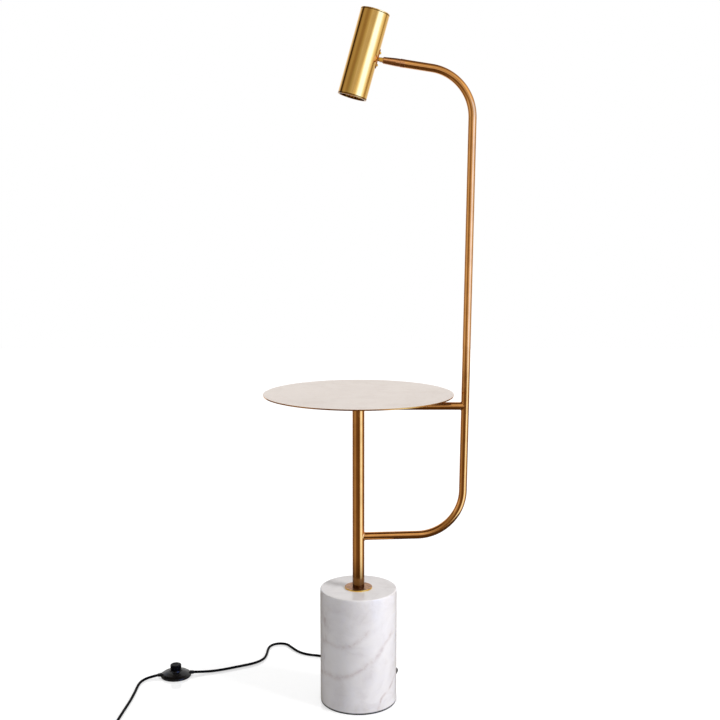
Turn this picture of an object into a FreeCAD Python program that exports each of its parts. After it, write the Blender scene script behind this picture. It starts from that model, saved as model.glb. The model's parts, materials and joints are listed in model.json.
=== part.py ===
import FreeCAD, Part
import math
import os
import re
import Sketcher

# A floor lamp with a table: a marble block carries a brass column with a round
# table top, and a bent tube beside it carries a spot head that tilts and turns.
# Millimetres. Origin: centre of the foot's underside. +Z is up, +X points from
# the column to the pole, and the lamp's front looks along -Y.

V = FreeCAD.Vector

SIZES = {
    # marble foot
    "base_diameter": 150,
    "base_height": 228,
    "base_top_round": 2.5,
    "base_bottom_round": 1,
    "pad_diameter": 149,
    "pad_thickness": 2,
    "recess_diameter": 64,
    "cutter_overrun": 5,
    "recess_ceiling": 64,
    "rod_bore": 12,
    "rod_diameter": 10,
    "rod_hole": 7,
    "rod_bottom": 50,
    "rod_top": 250,
    "rod_nut_width": 17,
    "rod_nut_height": 8,
    "rod_washer_diameter": 50,
    "rod_washer_thickness": 3,
    # column
    "collar_diameter": 54,
    "collar_thickness": 2.5,
    "collar_rim_round": 0.8,
    "column_diameter": 23.4,
    "column_wall": 1.5,
    "plug_fit": 0.05,
    "column_foot_length": 24,
    # table
    "table_diameter": 365,
    "table_thickness": 2.5,
    "table_top_height": 613.5,
    "table_edge_round": 0.6,
    "flange_diameter": 90,
    "flange_thickness": 3,
    "flange_spigot_length": 24,
    "flange_spigot_wall": 3,
    "stud_circle": 68,
    "first_stud_angle": 45,
    "stud_diameter": 4,
    "stud_length": 8,
    "stud_hole": 4.5,
    "table_nut_width": 7,
    "table_nut_height": 3.2,
    # bent arm tube and cross bar
    "arm_diameter": 15.4,
    "arm_wall": 1.2,
    "arm_bend_radius": 90,
    "lower_arm_height": 331.3,
    "lower_arm_rise": 1.6,
    "pole_reach": 204.7,
    "pole_lean": 0.75,
    "bar_height": 588.8,
    "bar_diameter": 15,
    "arm_end_reach": 85.3,
    "arm_end_height": 1228.6,
    "upper_arm_rise": 8.8,
    "weld_gap": 0.05,
    "wire_port": 9,
    # swivel at the arm's end, measured along the arm from the tube's end
    "ring_diameter": 15.8,
    "ring_length": 8.5,
    "ring_edge_round": 0.5,
    "stub_plug_length": 18,
    "stub_shaft_diameter": 8,
    "stub_shaft_length": 24.5,
    "stub_hole": 5,
    "turning_clearance": 0.05,
    "sleeve_start": 8.9,
    "sleeve_length": 30.9,
    "sleeve_diameter": 15,
    "sleeve_tip_diameter": 12.4,
    "sleeve_bearing_length": 9.5,
    "sleeve_cavity_diameter": 10.8,
    "sleeve_tip_round": 0.6,
    "sleeve_start_round": 0.4,
    "swivel_washer_diameter": 10,
    "swivel_washer_thickness": 0.8,
    "swivel_washer_gap": 0.3,
    "swivel_nut_diameter": 9.8,
    "swivel_nut_height": 3,
    # knuckle between sleeve and head
    "pivot_distance": 44.9,
    "fork_spigot_length": 8.5,
    "fork_neck": 1.2,
    "fork_width": 9.2,
    "fork_round": 3.8,
    "fork_slot": 4.7,
    "fork_slot_depth": 4.2,
    "knuckle_screw_diameter": 3,
    "knuckle_head_diameter": 5.4,
    "knuckle_head_height": 1.5,
    "screw_slot_width": 0.8,
    "screw_slot_depth": 0.6,
    "knuckle_nut_width": 5.5,
    "knuckle_nut_height": 2.2,
    "tongue_thickness": 3.6,
    "tongue_round": 3.6,
    "friction_washer_diameter": 6.8,
    "friction_washer_thickness": 0.4,
    # head, measured up its own axis from the mouth
    "head_diameter": 54.8,
    "head_length": 160,
    "head_wall": 1,
    "head_tilt": 15.7,
    "knuckle_station": 79,
    "knuckle_standoff": 5.3,
    "front_ring_lip": 3,
    "front_ring_length": 14,
    "front_ring_mouth": 48.2,
    "front_ring_seam": 0.5,
    "cap_thickness": 3,
    "cap_spigot_length": 8,
    "cap_seam": 0.6,
    "cap_rim_round": 0.6,
    "ring_wall": 1.5,
    "strip_length": 35.4,
    "strip_width": 10,
    "strip_thickness": 1.2,
    "head_screw_spread": 22.6,
    "head_screw_diameter": 3,
    "head_screw_length": 5.6,
    "head_screw_overlap": 0.5,
    "head_screw_head": 5.2,
    "head_screw_dome": 2.3,
    "dome_slot_width": 0.7,
    "dome_slot_depth": 0.8,
    "bulb_face_station": 16.2,
    "bulb_diameter": 49.6,
    "bulb_lens_diameter": 45,
    "bulb_lens_thickness": 1.6,
    "bulb_rim_height": 4,
    "bulb_shoulder_height": 16,
    "bulb_shoulder_inset": 4,
    "bulb_neck_diameter": 27,
    "bulb_neck_flare": 1,
    "bulb_flare_height": 33,
    "bulb_neck_height": 36,
    "bulb_height": 51,
    "bulb_pin_spread": 10,
    "bulb_pin_diameter": 5,
    "bulb_pin_length": 6.5,
    "holder_diameter": 29,
    "holder_height": 16,
    "holder_gap": 0.2,
    "socket_room": 0.6,
    "bracket_thickness": 1.2,
    "bracket_width": 12,
    "bracket_foot_reach": 8,
    "bracket_leg_face": 25.5,
    "holder_screw_diameter": 3,
    "holder_screw_spread": 8,
    "holder_screw_offset": -2,
    "holder_screw_grip": 5,
    "holder_tap_depth": 6,
    "holder_screw_head": 4.4,
    "holder_screw_head_height": 1.4,
    "terminal_width": 17,
    "terminal_depth": 16,
    "terminal_height": 11,
    "terminal_station": 114,
    "terminal_pole_spread": 8,
    "terminal_screw_well": 3.6,
    "terminal_web": 2,
    "lead_diameter": 2.2,
    "lead_holder_spread": 20,
    "lead_straight": 9,
    "lead_crossing": 20,
    "lead_into_terminal": 4,
    # flexible lead
    "flex_diameter": 4.4,
    "cord_diameter": 5.3,
    "cord_height": 2.75,
    "cord_exit_height": 43,
    "cord_exit_turn": 33,
    "cord_joint_reach": 77,
    "cord_slip": 0.1,
    "bush_hole": 10.4,
    "bush_shoulder": 14,
    "bush_inner_reach": 52,
    "bush_seat_gap": 0.2,
    "bush_flange": 1,
    "bush_taper_start": 2.5,
    "bush_taper_wall": 1.2,
    "bush_tip_wall": 0.9,
    "bush_tip_reach": 7,
    "flex_port_turn": 9.5,
    # foot switch
    "switch_centre_x": -381,
    "switch_centre_y": 104,
    "switch_turn": 12.6,
    "switch_diameter": 62.5,
    "switch_edge_height": 4.4,
    "switch_wall": 2.2,
    "housing_floor_gap": 1,
    "housing_skin": 2.4,
    "housing_shoulder_inset": 5,
    "housing_shoulder_rise": 3.4,
    "housing_inner_step": 0.6,
    "housing_corner_drop": 1.4,
    "housing_dome_inset": 13,
    "housing_dome_rise": 6.6,
    "housing_collar_foot": 2.4,
    "housing_collar_foot_rise": 8.2,
    "housing_collar_width": 1.8,
    "housing_collar_rise": 9.8,
    "housing_collar_depth": 3.8,
    "housing_edge_round": 1.6,
    "housing_dome_round": 6,
    "switch_base_room": 0.15,
    "switch_base_thickness": 2.6,
    "switch_screw_circle": 44,
    "switch_screw_diameter": 2.5,
    "switch_screw_length": 5,
    "switch_screw_hole": 2.6,
    "switch_screw_head": 4.6,
    "switch_screw_head_height": 1,
    "switch_screw_well": 5,
    "switch_screw_well_depth": 1.2,
    "switch_screw_sink": 0.2,
    "switch_port_height": 5.2,
    "switch_port_reach": 37,
    "port_root_wall": 1.5,
    "port_tip_wall": 0.6,
    "port_sink": 1.9,
    "port_hole_inset": 6,
    "button_diameter": 20.6,
    "button_top": 25.6,
    "button_bottom": 9.6,
    "button_travel": 2.5,
    "button_gap": 0.4,
    "button_dish": 0.6,
    "button_cap_overhang": 0.9,
    "button_cap_height": 6.4,
    "button_rim": 3,
    "button_skin": 3,
    "button_side_wall": 2,
    "button_flange": 2,
    "button_flange_thickness": 1.4,
    "button_round": 1.8,
    "block_length": 12,
    "block_width": 10,
    "block_height": 4,
    "plunger_diameter": 4,
    "plunger_root": 0.1,
    "spring_diameter": 9,
    "spring_wire": 0.8,
    "spring_turns": 5,
    "spring_seat_gap": 0.1,
    "spring_top_gap": 0.2,
    # put-away coil and plug
    "coil_centre_x": -419.4,
    "coil_centre_y": -172,
    "coil_height": 3.45,
    "coil_mean_radius": 29,
    "coil_pitch": 6.9,
    "coil_layer_step": 5.9,
    "coil_turns": 5,
    "coil_end_straight": 6,
    "coil_lead_in": 28,
    "tie_width": 5,
    "tie_thickness": 0.6,
    "tie_room": 1.1,
    "tie_floor_gap": 0.1,
    "tie_top_gap": 0.15,
    "tie_corner": 3,
    "plug_x": -374,
    "plug_y": -230,
    "plug_height": 6.85,
    "plug_length": 35,
    "plug_width": 26,
    "plug_depth": 13.6,
    "plug_round": 2,
    "plug_nose_length": 10,
    "plug_nose_taper": 7,
    "plug_end_length": 6,
    "plug_end_taper": 2.5,
    "plug_relief_length": 24,
    "relief_tip_wall": 0.5,
    "relief_root_wall": 2.4,
    "plug_pin_length": 19,
    "plug_pin_diameter": 4,
    "plug_pin_spread": 18.6,
    "plug_pin_tip_round": 1,
}

doc = FreeCAD.newDocument("floor_lamp_with_table")
sheet = doc.addObject("Spreadsheet::Sheet", "lamp")
for row, (alias, value) in enumerate(SIZES.items(), start=1):
    sheet.set(f"A{row}", alias)
    sheet.set(f"B{row}", str(value))
    sheet.setAlias(f"B{row}", alias)
doc.recompute()

pieces = []


def size(alias):
    """The number that the sheet holds under this alias."""
    return float(sheet.get(alias))


def formula(text):
    """A formula in which every named size points at its cell of the sheet."""
    return re.sub(r"[a-z][a-z0-9_]*", point_at_cell, str(text))


def point_at_cell(word):
    name = word.group()
    return "lamp." + name if name in SIZES else name


def bind(thing, **sizes):
    """Tie properties of an object to formulas over the sheet."""
    for name, text in sizes.items():
        thing.setExpression(name, formula(text))
    return thing


def keep(thing, frame=None):
    """Count an object as a sub-part, and put it in its place."""
    thing.Label = thing.Name
    if frame is not None:
        thing.Placement = frame
    pieces.append(thing)
    return thing


# --- Sketches and turned bodies ---------------------------------------------


def sketch_on(body, role, name):
    """A sketch on one of the body's own origin planes."""
    plane = [face for face in body.Origin.OriginFeatures if face.Role == role][0]
    sketch = body.newObject("Sketcher::SketchObject", name)
    sketch.AttachmentSupport = [(plane, "")]
    sketch.MapMode = "FlatFace"
    return sketch


def tie_point(sketch, line, place):
    """Hold the start of a line at a place given by two formulas."""
    for kind, axis, text in (("DistanceX", -2, place[0]), ("DistanceY", -1, place[1])):
        if text == "0":
            sketch.addConstraint(Sketcher.Constraint("PointOnObject", line, 1, axis))
        else:
            held = sketch.addConstraint(Sketcher.Constraint(kind, -1, 1, line, 1, 1.0))
            sketch.setExpression(f"Constraints[{held}]", formula(text))


def draw_outline(sketch, corners):
    """A closed outline of straight lines whose corners are pairs of formulas."""
    count = len(corners)
    first = sketch.GeometryCount
    steps = [2 * math.pi * index / count for index in range(count + 1)]
    ring = [V(50 * math.cos(step), 50 * math.sin(step), 0) for step in steps]
    for index in range(count):
        sketch.addGeometry(Part.LineSegment(ring[index], ring[index + 1]), False)
    for index in range(count):
        following = first + (index + 1) % count
        joint = Sketcher.Constraint("Coincident", first + index, 2, following, 1)
        sketch.addConstraint(joint)
    for index, place in enumerate(corners):
        tie_point(sketch, first + index, place)


def draw_circle(sketch, place, diameter):
    """A circle whose centre and diameter are formulas."""
    circle = sketch.addGeometry(Part.Circle(V(1, 1, 0), V(0, 0, 1), 1), False)
    for kind, axis, text in (("DistanceX", -2, place[0]), ("DistanceY", -1, place[1])):
        if text == "0":
            sketch.addConstraint(Sketcher.Constraint("PointOnObject", circle, 3, axis))
        else:
            held = sketch.addConstraint(Sketcher.Constraint(kind, -1, 1, circle, 3, 1.0))
            sketch.setExpression(f"Constraints[{held}]", formula(text))
    held = sketch.addConstraint(Sketcher.Constraint("Diameter", circle, 2.0))
    sketch.setExpression(f"Constraints[{held}]", formula(diameter))


def turned(name, corners):
    """A body turned about Z from an outline of (radius, height) formulas."""
    body = doc.addObject("PartDesign::Body", name)
    sketch = sketch_on(body, "XZ_Plane", name + "_profile")
    draw_outline(sketch, corners)
    turn = body.newObject("PartDesign::Revolution", name + "_turn")
    turn.Profile = sketch
    turn.ReferenceAxis = (sketch, ["V_Axis"])
    turn.Angle = 360
    doc.recompute()
    return body


def sleeve_outline(outer, inner, low, high):
    """The outline of a plain ring or tube."""
    return [(inner, low), (outer, low), (outer, high), (inner, high)]


def padded(name, corners, thickness, plane="XZ_Plane"):
    """A plate padded to both sides of a plane from an outline of formulas."""
    body = doc.addObject("PartDesign::Body", name)
    sketch = sketch_on(body, plane, name + "_outline")
    draw_outline(sketch, corners)
    pad = body.newObject("PartDesign::Pad", name + "_pad")
    pad.Profile = sketch
    pad.Midplane = True
    bind(pad, Length=thickness)
    doc.recompute()
    return body


def box_outline(left, right, low, high):
    """The four corners of a rectangle."""
    return [(left, low), (right, low), (right, high), (left, high)]


def round_rims(body, radius, rims, kind="Fillet"):
    """Round or chamfer the circular edges of these radii and heights."""
    found = []
    for number, edge in enumerate(body.Shape.Edges, start=1):
        curve = edge.Curve
        if not isinstance(curve, Part.Circle):
            continue
        for rim_radius, rim_height in rims:
            same_radius = abs(curve.Radius - rim_radius) < 0.01
            same_height = abs(edge.CenterOfMass.z - rim_height) < 0.01
            if same_radius and same_height:
                found.append(f"Edge{number}")
    base = body.Tip
    rounding = body.newObject("PartDesign::" + kind, f"{body.Name}_{kind}_{len(body.Group)}")
    rounding.Base = (base, found)
    bind(rounding, **{"Radius" if kind == "Fillet" else "Size": radius})
    doc.recompute()
    return body


def level_edges(body, height_low, height_high):
    """Names of the level straight edges that lie between two heights."""
    names = []
    for number, edge in enumerate(body.Shape.Edges, start=1):
        box = edge.BoundBox
        if box.ZLength < 1e-4 and height_low <= box.ZMin <= height_high:
            names.append(f"Edge{number}")
    return names


# --- Primitives --------------------------------------------------------------


def rod(name, diameter, length, start=V(0, 0, 0), along=V(0, 0, 1)):
    """A round rod from a point along a direction."""
    thing = doc.addObject("Part::Cylinder", name)
    bind(thing, Radius=f"({diameter}) / 2", Height=length)
    thing.Placement = FreeCAD.Placement(start, FreeCAD.Rotation(V(0, 0, 1), along))
    return thing


def block(name, length, width, height, corner):
    """A box from its lowest corner."""
    thing = doc.addObject("Part::Box", name)
    bind(thing, Length=length, Width=width, Height=height)
    thing.Placement = FreeCAD.Placement(corner, FreeCAD.Rotation())
    return thing


def hexagon(name, width, height, start=V(0, 0, 0), along=V(0, 0, 1)):
    """A hexagonal prism of this width across its flats."""
    thing = doc.addObject("Part::Prism", name)
    thing.Polygon = 6
    bind(thing, Circumradius=f"({width}) / 2 / cos(30)", Height=height)
    thing.Placement = FreeCAD.Placement(start, FreeCAD.Rotation(V(0, 0, 1), along))
    return thing


def joined(name, *things):
    """One solid from several."""
    thing = doc.addObject("Part::MultiFuse", name)
    thing.Shapes = list(things)
    thing.Refine = True
    doc.recompute()
    return thing


def cut(name, base, *tools):
    """A solid less one or more others."""
    tool = tools[0] if len(tools) == 1 else joined(name + "_cutters", *tools)
    thing = doc.addObject("Part::Cut", name)
    thing.Base = base
    thing.Tool = tool
    doc.recompute()
    return thing


def round_a_circle(count, radius, first_angle):
    """Places evenly spaced round a circle about Z, from an angle in degrees."""
    angles = [math.radians(first_angle + 360 * index / count) for index in range(count)]
    return [V(radius * math.cos(angle), radius * math.sin(angle), 0) for angle in angles]


def group(name, *things):
    """Separate solids that share one node."""
    thing = doc.addObject("Part::Compound", name)
    thing.Links = list(things)
    doc.recompute()
    return thing


def from_shape(name, shape):
    """A sub-part whose shape is worked out in code."""
    thing = doc.addObject("Part::Feature", name)
    thing.Shape = shape
    return thing


# --- Frames of the slanting pieces --------------------------------------------

ARM_SLOPE = math.radians(size("upper_arm_rise"))
ARM_END = V(size("arm_end_reach"), 0, size("arm_end_height"))
ALONG_ARM = V(-math.cos(ARM_SLOPE), 0, math.sin(ARM_SLOPE))
SWIVEL_FRAME = FreeCAD.Placement(
    ARM_END, FreeCAD.Rotation(V(0, 1, 0), size("upper_arm_rise") - 90)
)
PIVOT = ARM_END + ALONG_ARM * size("pivot_distance")

HEAD_TURN = FreeCAD.Rotation(V(0, 1, 0), size("head_tilt"))
PIVOT_OUT = size("head_diameter") / 2 + size("knuckle_standoff")
MOUTH = PIVOT - HEAD_TURN.multVec(V(PIVOT_OUT, 0, size("knuckle_station")))
HEAD_FRAME = FreeCAD.Placement(MOUTH, HEAD_TURN)

EXIT_ANGLE = math.radians(size("cord_exit_turn"))
EXIT_WAY = V(math.cos(EXIT_ANGLE), math.sin(EXIT_ANGLE), 0)
EXIT_RISE = V(0, 0, size("cord_exit_height"))


# --- Marble foot ---------------------------------------------------------------


def make_foot():
    keep(turned("foot_pad", sleeve_outline("pad_diameter / 2", "0", "0", "pad_thickness")))

    corners = [
        ("recess_diameter / 2", "pad_thickness"),
        ("base_diameter / 2", "pad_thickness"),
        ("base_diameter / 2", "base_height"),
        ("rod_bore / 2", "base_height"),
        ("rod_bore / 2", "recess_ceiling"),
        ("recess_diameter / 2", "recess_ceiling"),
    ]
    marble = turned("marble_blank", corners)
    outer = size("base_diameter") / 2
    round_rims(marble, "base_top_round", [(outer, size("base_height"))])
    round_rims(marble, "base_bottom_round", [(outer, size("pad_thickness"))])
    inside = EXIT_WAY * (size("recess_diameter") / 2 - size("cutter_overrun")) + EXIT_RISE
    cord_hole = rod("cord_hole", "bush_hole", "base_diameter / 2", inside, EXIT_WAY)
    keep(cut("marble_base", marble, cord_hole))

    collar_low = "base_height"
    collar_high = "base_height + collar_thickness"
    collar = turned(
        "base_collar",
        sleeve_outline("collar_diameter / 2", "rod_diameter / 2 + plug_fit", collar_low, collar_high),
    )
    rim = (size("collar_diameter") / 2, size("base_height") + size("collar_thickness"))
    keep(round_rims(collar, "collar_rim_round", [rim]))

    rod_outline = sleeve_outline("rod_diameter / 2", "rod_hole / 2", "rod_bottom", "rod_top")
    keep(turned("threaded_rod", rod_outline))
    washer_low = "recess_ceiling - rod_washer_thickness"
    rod_room = "rod_diameter / 2 + plug_fit"
    outline = sleeve_outline("rod_washer_diameter / 2", rod_room, washer_low, "recess_ceiling")
    keep(turned("rod_washer", outline))
    nut_low = size("recess_ceiling") - size("rod_washer_thickness") - size("rod_nut_height")
    blank = hexagon("rod_nut_blank", "rod_nut_width", "rod_nut_height", V(0, 0, nut_low))
    hole = rod("rod_nut_hole", "rod_diameter + 2 * plug_fit", "rod_nut_height", V(0, 0, nut_low))
    keep(cut("rod_nut", blank, hole))


# --- Column and table ------------------------------------------------------------


def make_column():
    column_inner = "column_diameter / 2 - column_wall"
    collar_top = "base_height + collar_thickness"
    flange_low = "table_top_height - table_thickness - flange_thickness"
    keep(turned(
        "column_foot",
        sleeve_outline(
            column_inner + " - plug_fit",
            "rod_diameter / 2 + plug_fit",
            collar_top,
            collar_top + " + column_foot_length",
        ),
    ))
    tube = turned("column_blank", sleeve_outline("column_diameter / 2", column_inner, collar_top, flange_low))
    port = rod(
        "column_port", "wire_port", "column_diameter", V(0, 0, size("lower_arm_height")), V(1, 0, 0)
    )
    keep(cut("column_tube", tube, port))


def make_table():
    """The flange in the column's top, and the disc held on it by studs welded under it."""
    underside = "table_top_height - table_thickness"
    flange_low = underside + " - flange_thickness"
    spigot = "column_diameter / 2 - column_wall - plug_fit"
    corners = [
        (spigot + " - flange_spigot_wall", flange_low + " - flange_spigot_length"),
        (spigot, flange_low + " - flange_spigot_length"),
        (spigot, flange_low),
        ("flange_diameter / 2", flange_low),
        ("flange_diameter / 2", underside),
        (spigot + " - flange_spigot_wall", underside),
    ]
    flange = turned("flange_blank", corners)
    places = round_a_circle(4, size("stud_circle") / 2, size("first_stud_angle"))
    flange_bottom = size("table_top_height") - size("table_thickness") - size("flange_thickness")
    table_bottom = size("table_top_height") - size("table_thickness")
    holes = [
        rod(f"flange_hole_{index}", "stud_hole", "flange_thickness", place + V(0, 0, flange_bottom))
        for index, place in enumerate(places)
    ]
    keep(cut("table_flange", flange, *holes))

    disc = turned("table_top", sleeve_outline("table_diameter / 2", "0", underside, "table_top_height"))
    rim = size("table_diameter") / 2
    rims = [(rim, size("table_top_height")), (rim, table_bottom)]
    keep(round_rims(disc, "table_edge_round", rims))
    stud_low = V(0, 0, table_bottom - size("stud_length"))
    studs = [
        rod(f"table_stud_{index}", "stud_diameter", "stud_length", place + stud_low)
        for index, place in enumerate(places)
    ]
    keep(group("table_studs", *studs))

    nuts = []
    for index, place in enumerate(places):
        low = place + V(0, 0, flange_bottom - size("table_nut_height"))
        blank = hexagon(f"table_nut_blank_{index}", "table_nut_width", "table_nut_height", low)
        hole = rod(f"table_nut_hole_{index}", "stud_diameter + 2 * plug_fit", "table_nut_height", low)
        nuts.append(cut(f"table_nut_{index}", blank, hole))
    keep(group("table_nuts", *nuts))


# --- Bent arm tube ------------------------------------------------------------------


def arm_path():
    """Corners of the arm's centre line in the XZ plane: column, two bends, end."""
    rise = math.tan(math.radians(size("lower_arm_rise")))
    lean = math.tan(math.radians(size("pole_lean")))
    upper = math.tan(ARM_SLOPE)
    low_start = size("lower_arm_height")
    # the pole's line is x = foot + lean * z
    foot = size("pole_reach") - lean * size("bar_height")
    low_z = (low_start + rise * foot) / (1 - rise * lean)
    low_x = foot + lean * low_z
    # the upper arm's line is z = top_start - upper * x
    top_start = ARM_END.z + upper * ARM_END.x
    high_z = (top_start - upper * foot) / (1 + upper * lean)
    high_x = foot + lean * high_z
    return [V(0, low_start, 0), V(low_x, low_z, 0), V(high_x, high_z, 0), V(ARM_END.x, ARM_END.z, 0)]


def rounded_corner(before, corner, after, radius):
    """Where an arc of this radius leaves and meets the two runs at a corner."""
    back = (before - corner).normalize()
    onward = (after - corner).normalize()
    half_turn = (math.pi - back.getAngle(onward)) / 2
    reach = radius * math.tan(half_turn)
    middle = (back + onward).normalize()
    centre = corner + middle * (radius / math.cos(half_turn))
    return corner + back * reach, centre - middle * radius, corner + onward * reach


def make_arm():
    """One tube swept along straight runs and two tangent bends, coped to the column."""
    body = doc.addObject("PartDesign::Body", "arm_blank")
    spine = sketch_on(body, "XZ_Plane", "arm_spine")
    start, low, high, end = arm_path()
    radius = size("arm_bend_radius")
    low_in, low_mid, low_out = rounded_corner(start, low, high, radius)
    high_in, high_mid, high_out = rounded_corner(low, high, end, radius)
    for edge in (
        Part.LineSegment(start, low_in),
        Part.Arc(low_in, low_mid, low_out),
        Part.LineSegment(low_out, high_in),
        Part.Arc(high_in, high_mid, high_out),
        Part.LineSegment(high_out, end),
        Part.Point(V(size("pole_reach"), size("bar_height"), 0)),
    ):
        spine.addGeometry(edge, False)
    spine.toggleConstruction(5)
    joints = [(0, 2, 1, 1), (1, 2, 2, 1), (2, 2, 3, 1), (3, 2, 4, 1)]
    for first, first_end, second, second_end in joints:
        spine.addConstraint(Sketcher.Constraint("Tangent", first, first_end, second, second_end))
    spine.addConstraint(Sketcher.Constraint("PointOnObject", 0, 1, -2))
    spine.addConstraint(Sketcher.Constraint("PointOnObject", 5, 1, 2))
    held = [
        (Sketcher.Constraint("DistanceY", -1, 1, 0, 1, start.y), "lower_arm_height"),
        (Sketcher.Constraint("Angle", -1, 1, 0, 1, math.radians(size("lower_arm_rise"))), "lower_arm_rise"),
        (Sketcher.Constraint("DistanceX", -1, 1, 5, 1, size("pole_reach")), "pole_reach"),
        (Sketcher.Constraint("DistanceY", -1, 1, 5, 1, size("bar_height")), "bar_height"),
        (Sketcher.Constraint("Radius", 1, radius), "arm_bend_radius"),
        (Sketcher.Constraint("Radius", 3, radius), "arm_bend_radius"),
        (Sketcher.Constraint("DistanceX", -1, 1, 4, 2, end.x), "arm_end_reach"),
        (Sketcher.Constraint("DistanceY", -1, 1, 4, 2, end.y), "arm_end_height"),
    ]
    for constraint, text in held:
        number = spine.addConstraint(constraint)
        if constraint.Type != "Angle":
            spine.setExpression(f"Constraints[{number}]", formula(text))
    section = sketch_on(body, "YZ_Plane", "arm_section")
    square_on = FreeCAD.Rotation(V(1, 0, 0), -size("lower_arm_rise"))
    section.AttachmentOffset = FreeCAD.Placement(V(0, start.y, 0), square_on)
    draw_circle(section, ("0", "0"), "arm_diameter")
    draw_circle(section, ("0", "0"), "arm_diameter - 2 * arm_wall")
    doc.recompute()
    pipe = body.newObject("PartDesign::AdditivePipe", "arm_sweep")
    pipe.Profile = section
    pipe.Spine = (spine, [f"Edge{number}" for number in range(1, 6)])
    doc.recompute()
    saddle = rod("arm_saddle", "column_diameter + 2 * weld_gap", "arm_diameter * 2",
                 V(0, 0, size("lower_arm_height") - size("arm_diameter")))
    keep(cut("arm_tube", body, saddle))


def make_cross_bar():
    """The bar under the table, coped to the column and to the leaning pole."""
    bar = rod("bar_blank", "bar_diameter", "pole_reach", V(0, 0, size("bar_height")), V(1, 0, 0))
    column = rod("bar_column_cope", "column_diameter + 2 * weld_gap", "bar_diameter * 2",
                 V(0, 0, size("bar_height") - size("bar_diameter")))
    lean = math.radians(size("pole_lean"))
    pole_way = V(math.sin(lean), 0, math.cos(lean))
    pole_low = V(size("pole_reach"), 0, size("bar_height")) - pole_way * size("bar_diameter")
    pole = rod("bar_pole_cope", "arm_diameter + 2 * weld_gap", "bar_diameter * 2", pole_low, pole_way)
    keep(cut("cross_bar", bar, column, pole))


# --- Swivel: ring, stub, sleeve, along the arm -------------------------------------


def make_swivel():
    shaft = "stub_shaft_diameter / 2"
    running = "stub_shaft_diameter / 2 + turning_clearance"
    plug = "arm_diameter / 2 - arm_wall - plug_fit"
    corners = [
        ("stub_hole / 2", "0 - stub_plug_length"),
        (plug, "0 - stub_plug_length"),
        (plug, "0"),
        (shaft, "0"),
        (shaft, "stub_shaft_length"),
        ("stub_hole / 2", "stub_shaft_length"),
    ]
    keep(turned("swivel_stub", corners), SWIVEL_FRAME)

    ring = turned("swivel_ring", sleeve_outline("ring_diameter / 2", running, "plug_fit", "ring_length"))
    outer = size("ring_diameter") / 2
    rims = [(outer, size("plug_fit")), (outer, size("ring_length"))]
    keep(round_rims(ring, "ring_edge_round", rims), SWIVEL_FRAME)

    cavity = "sleeve_cavity_diameter / 2"
    shoulder = "sleeve_start + sleeve_bearing_length"
    tip = "sleeve_start + sleeve_length"
    corners = [
        (running, "sleeve_start"),
        ("sleeve_diameter / 2", "sleeve_start"),
        ("sleeve_diameter / 2", "sleeve_start + sleeve_length / 4"),
        ("sleeve_tip_diameter / 2", tip),
        (cavity, tip),
        (cavity, shoulder),
        (running, shoulder),
    ]
    sleeve = turned("swivel_sleeve", corners)
    tip_rim = (size("sleeve_tip_diameter") / 2, size("sleeve_start") + size("sleeve_length"))
    round_rims(sleeve, "sleeve_tip_round", [tip_rim])
    start_rim = (size("sleeve_diameter") / 2, size("sleeve_start"))
    keep(round_rims(sleeve, "sleeve_start_round", [start_rim]), SWIVEL_FRAME)

    washer_low = shoulder + " + swivel_washer_gap"
    nut_low = washer_low + " + swivel_washer_thickness"
    keep(turned(
        "swivel_washer",
        sleeve_outline("swivel_washer_diameter / 2", running, washer_low, nut_low),
    ), SWIVEL_FRAME)
    keep(turned(
        "swivel_nut",
        sleeve_outline("swivel_nut_diameter / 2", running, nut_low, nut_low + " + swivel_nut_height"),
    ), SWIVEL_FRAME)


# --- Knuckle: fork, screw, washers, tongue ------------------------------------------


def make_fork():
    """A round spigot in the sleeve's tip, and two cheeks round the pivot."""
    tip = size("sleeve_start") + size("sleeve_length")
    pivot = V(0, 0, size("pivot_distance"))
    spigot = rod(
        "fork_spigot",
        "sleeve_cavity_diameter - 2 * plug_fit",
        "fork_spigot_length + fork_neck",
        V(0, 0, tip - size("fork_spigot_length")),
    )
    cheeks = padded(
        "fork_cheeks",
        box_outline("0 - fork_round", "fork_round", "sleeve_start + sleeve_length", "pivot_distance"),
        "fork_width",
    )
    boss = rod("fork_boss", "2 * fork_round", "fork_width",
               pivot - V(0, size("fork_width") / 2, 0), V(0, 1, 0))
    solid = joined("fork_solid", spigot, cheeks, boss)
    slot_low = size("pivot_distance") - size("fork_slot_depth")
    slot = block("fork_slot_cutter", "4 * fork_round", "fork_slot", "4 * fork_round",
                 V(-2 * size("fork_round"), -size("fork_slot") / 2, slot_low))
    pin_hole = rod("fork_pin_hole", "knuckle_screw_diameter + 2 * plug_fit", "2 * fork_width",
                   pivot - V(0, size("fork_width"), 0), V(0, 1, 0))
    wire_hole = rod("fork_wire_hole", "flex_diameter", "2 * fork_spigot_length",
                    V(0, 0, tip - size("fork_spigot_length") - 1))
    keep(cut("knuckle_fork", solid, slot, pin_hole, wire_hole), SWIVEL_FRAME)


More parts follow.
